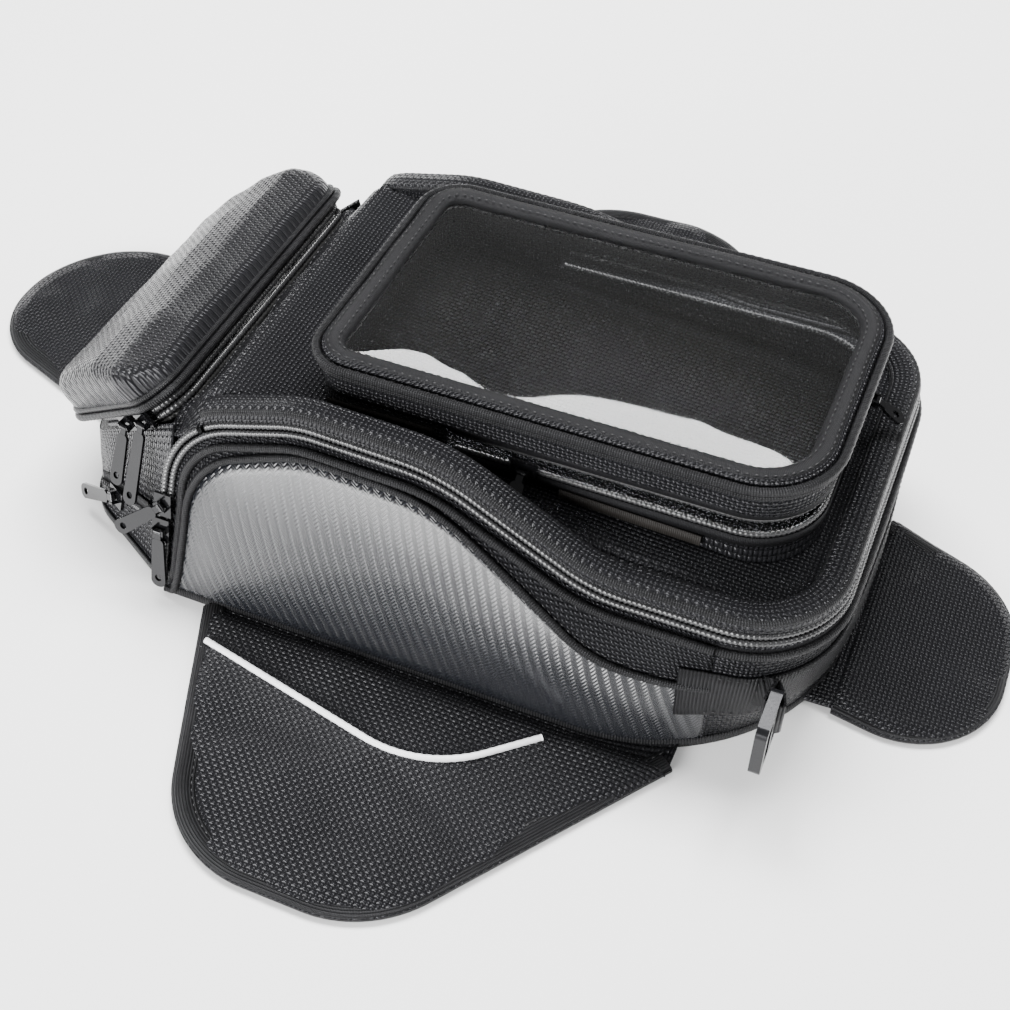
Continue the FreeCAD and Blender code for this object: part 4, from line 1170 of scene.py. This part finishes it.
tab_path = np.array([
    (150, -103.5, 40), (160, -102.0, 41), (168, -101.5, 43), (172.5, -104, 46), (175.8, -110, 48),
    (177.5, -115.5, 48), (173.2, -118.4, 48), (168.6, -115.5, 48), (169.6, -109.4, 48), (170.6, -105, 47),
])
tab_path = resample(tab_path, count=60)
tab_out = np.cross(tangents(tab_path), np.array([0, 0, 1.0]))
tab = sweep("strap_tab_loop", tab_path, tab_out, flat_bar(9, -0.5, 0.5), WEBBING, "bag")
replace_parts(tab, "strap_tab")

# ------------ CAD pieces that stay

KEPT = {"underside_sheet": RUBBER, "base_board": BOARD, "strap_buckle": PLASTIC}
for node_name in NODES:
    if node_name.endswith("_slider") or node_name.endswith("_puller"):
        KEPT[node_name] = METAL
    if node_name.endswith("_magnets"):
        KEPT[node_name] = MAGNET
for node_name, material in KEPT.items():
    mesh = NODES[node_name].data
    mesh.materials.clear()
    mesh.materials.append(material)

# ------------ floor, light and camera

FLOOR_LEVEL = -0.0006
floor_mesh = bpy.data.meshes.new("floor")
floor_corners = [(-4, -4), (4, -4), (4, 4), (-4, 4)]
floor_mesh.from_pydata([(x, y, FLOOR_LEVEL) for x, y in floor_corners], [], [(0, 1, 2, 3)])
floor = add_object("floor", floor_mesh)
floor_mesh.materials.append(Look("pale_floor", (0.93, 0.93, 0.93), 0.8, 0.1).material)

world = bpy.data.worlds.new("studio")
world.use_nodes = True
world.node_tree.nodes["Background"].inputs["Color"].default_value = (1, 1, 1, 1)
world.node_tree.nodes["Background"].inputs["Strength"].default_value = 0.30
bpy.context.scene.world = world


def area_light(name, place, target, size, power):
    data = bpy.data.lights.new(name, "AREA")
    data.shape = "RECTANGLE"
    data.size, data.size_y = size
    data.energy = power
    obj = add_object(name, data)
    obj.location = place
    aim = Vector(target) - Vector(place)
    obj.rotation_euler = aim.to_track_quat("-Z", "Y").to_euler()


area_light("top_box", (-0.20, 0.62, 1.6), (0, 0, 0), (1.5, 0.7), 112)
area_light("front_box", (-0.55, -1.35, 0.34), (0, 0, 0.05), (1.3, 0.6), 66)
area_light("side_box", (1.5, 0.1, 1.0), (0, 0, 0.05), (0.7, 0.9), 18)

CAMERA_PLACE = (0.2117, -0.487, 0.5577)
CAMERA_TILT = 43
CAMERA_TURN = 23
camera_data = bpy.data.cameras.new("camera")
camera_data.sensor_width = 36
camera_data.lens = 53.5
camera = add_object("camera", camera_data)
camera.location = CAMERA_PLACE
camera.rotation_euler = (math.radians(CAMERA_TILT), 0, math.radians(CAMERA_TURN))
bpy.context.scene.camera = camera
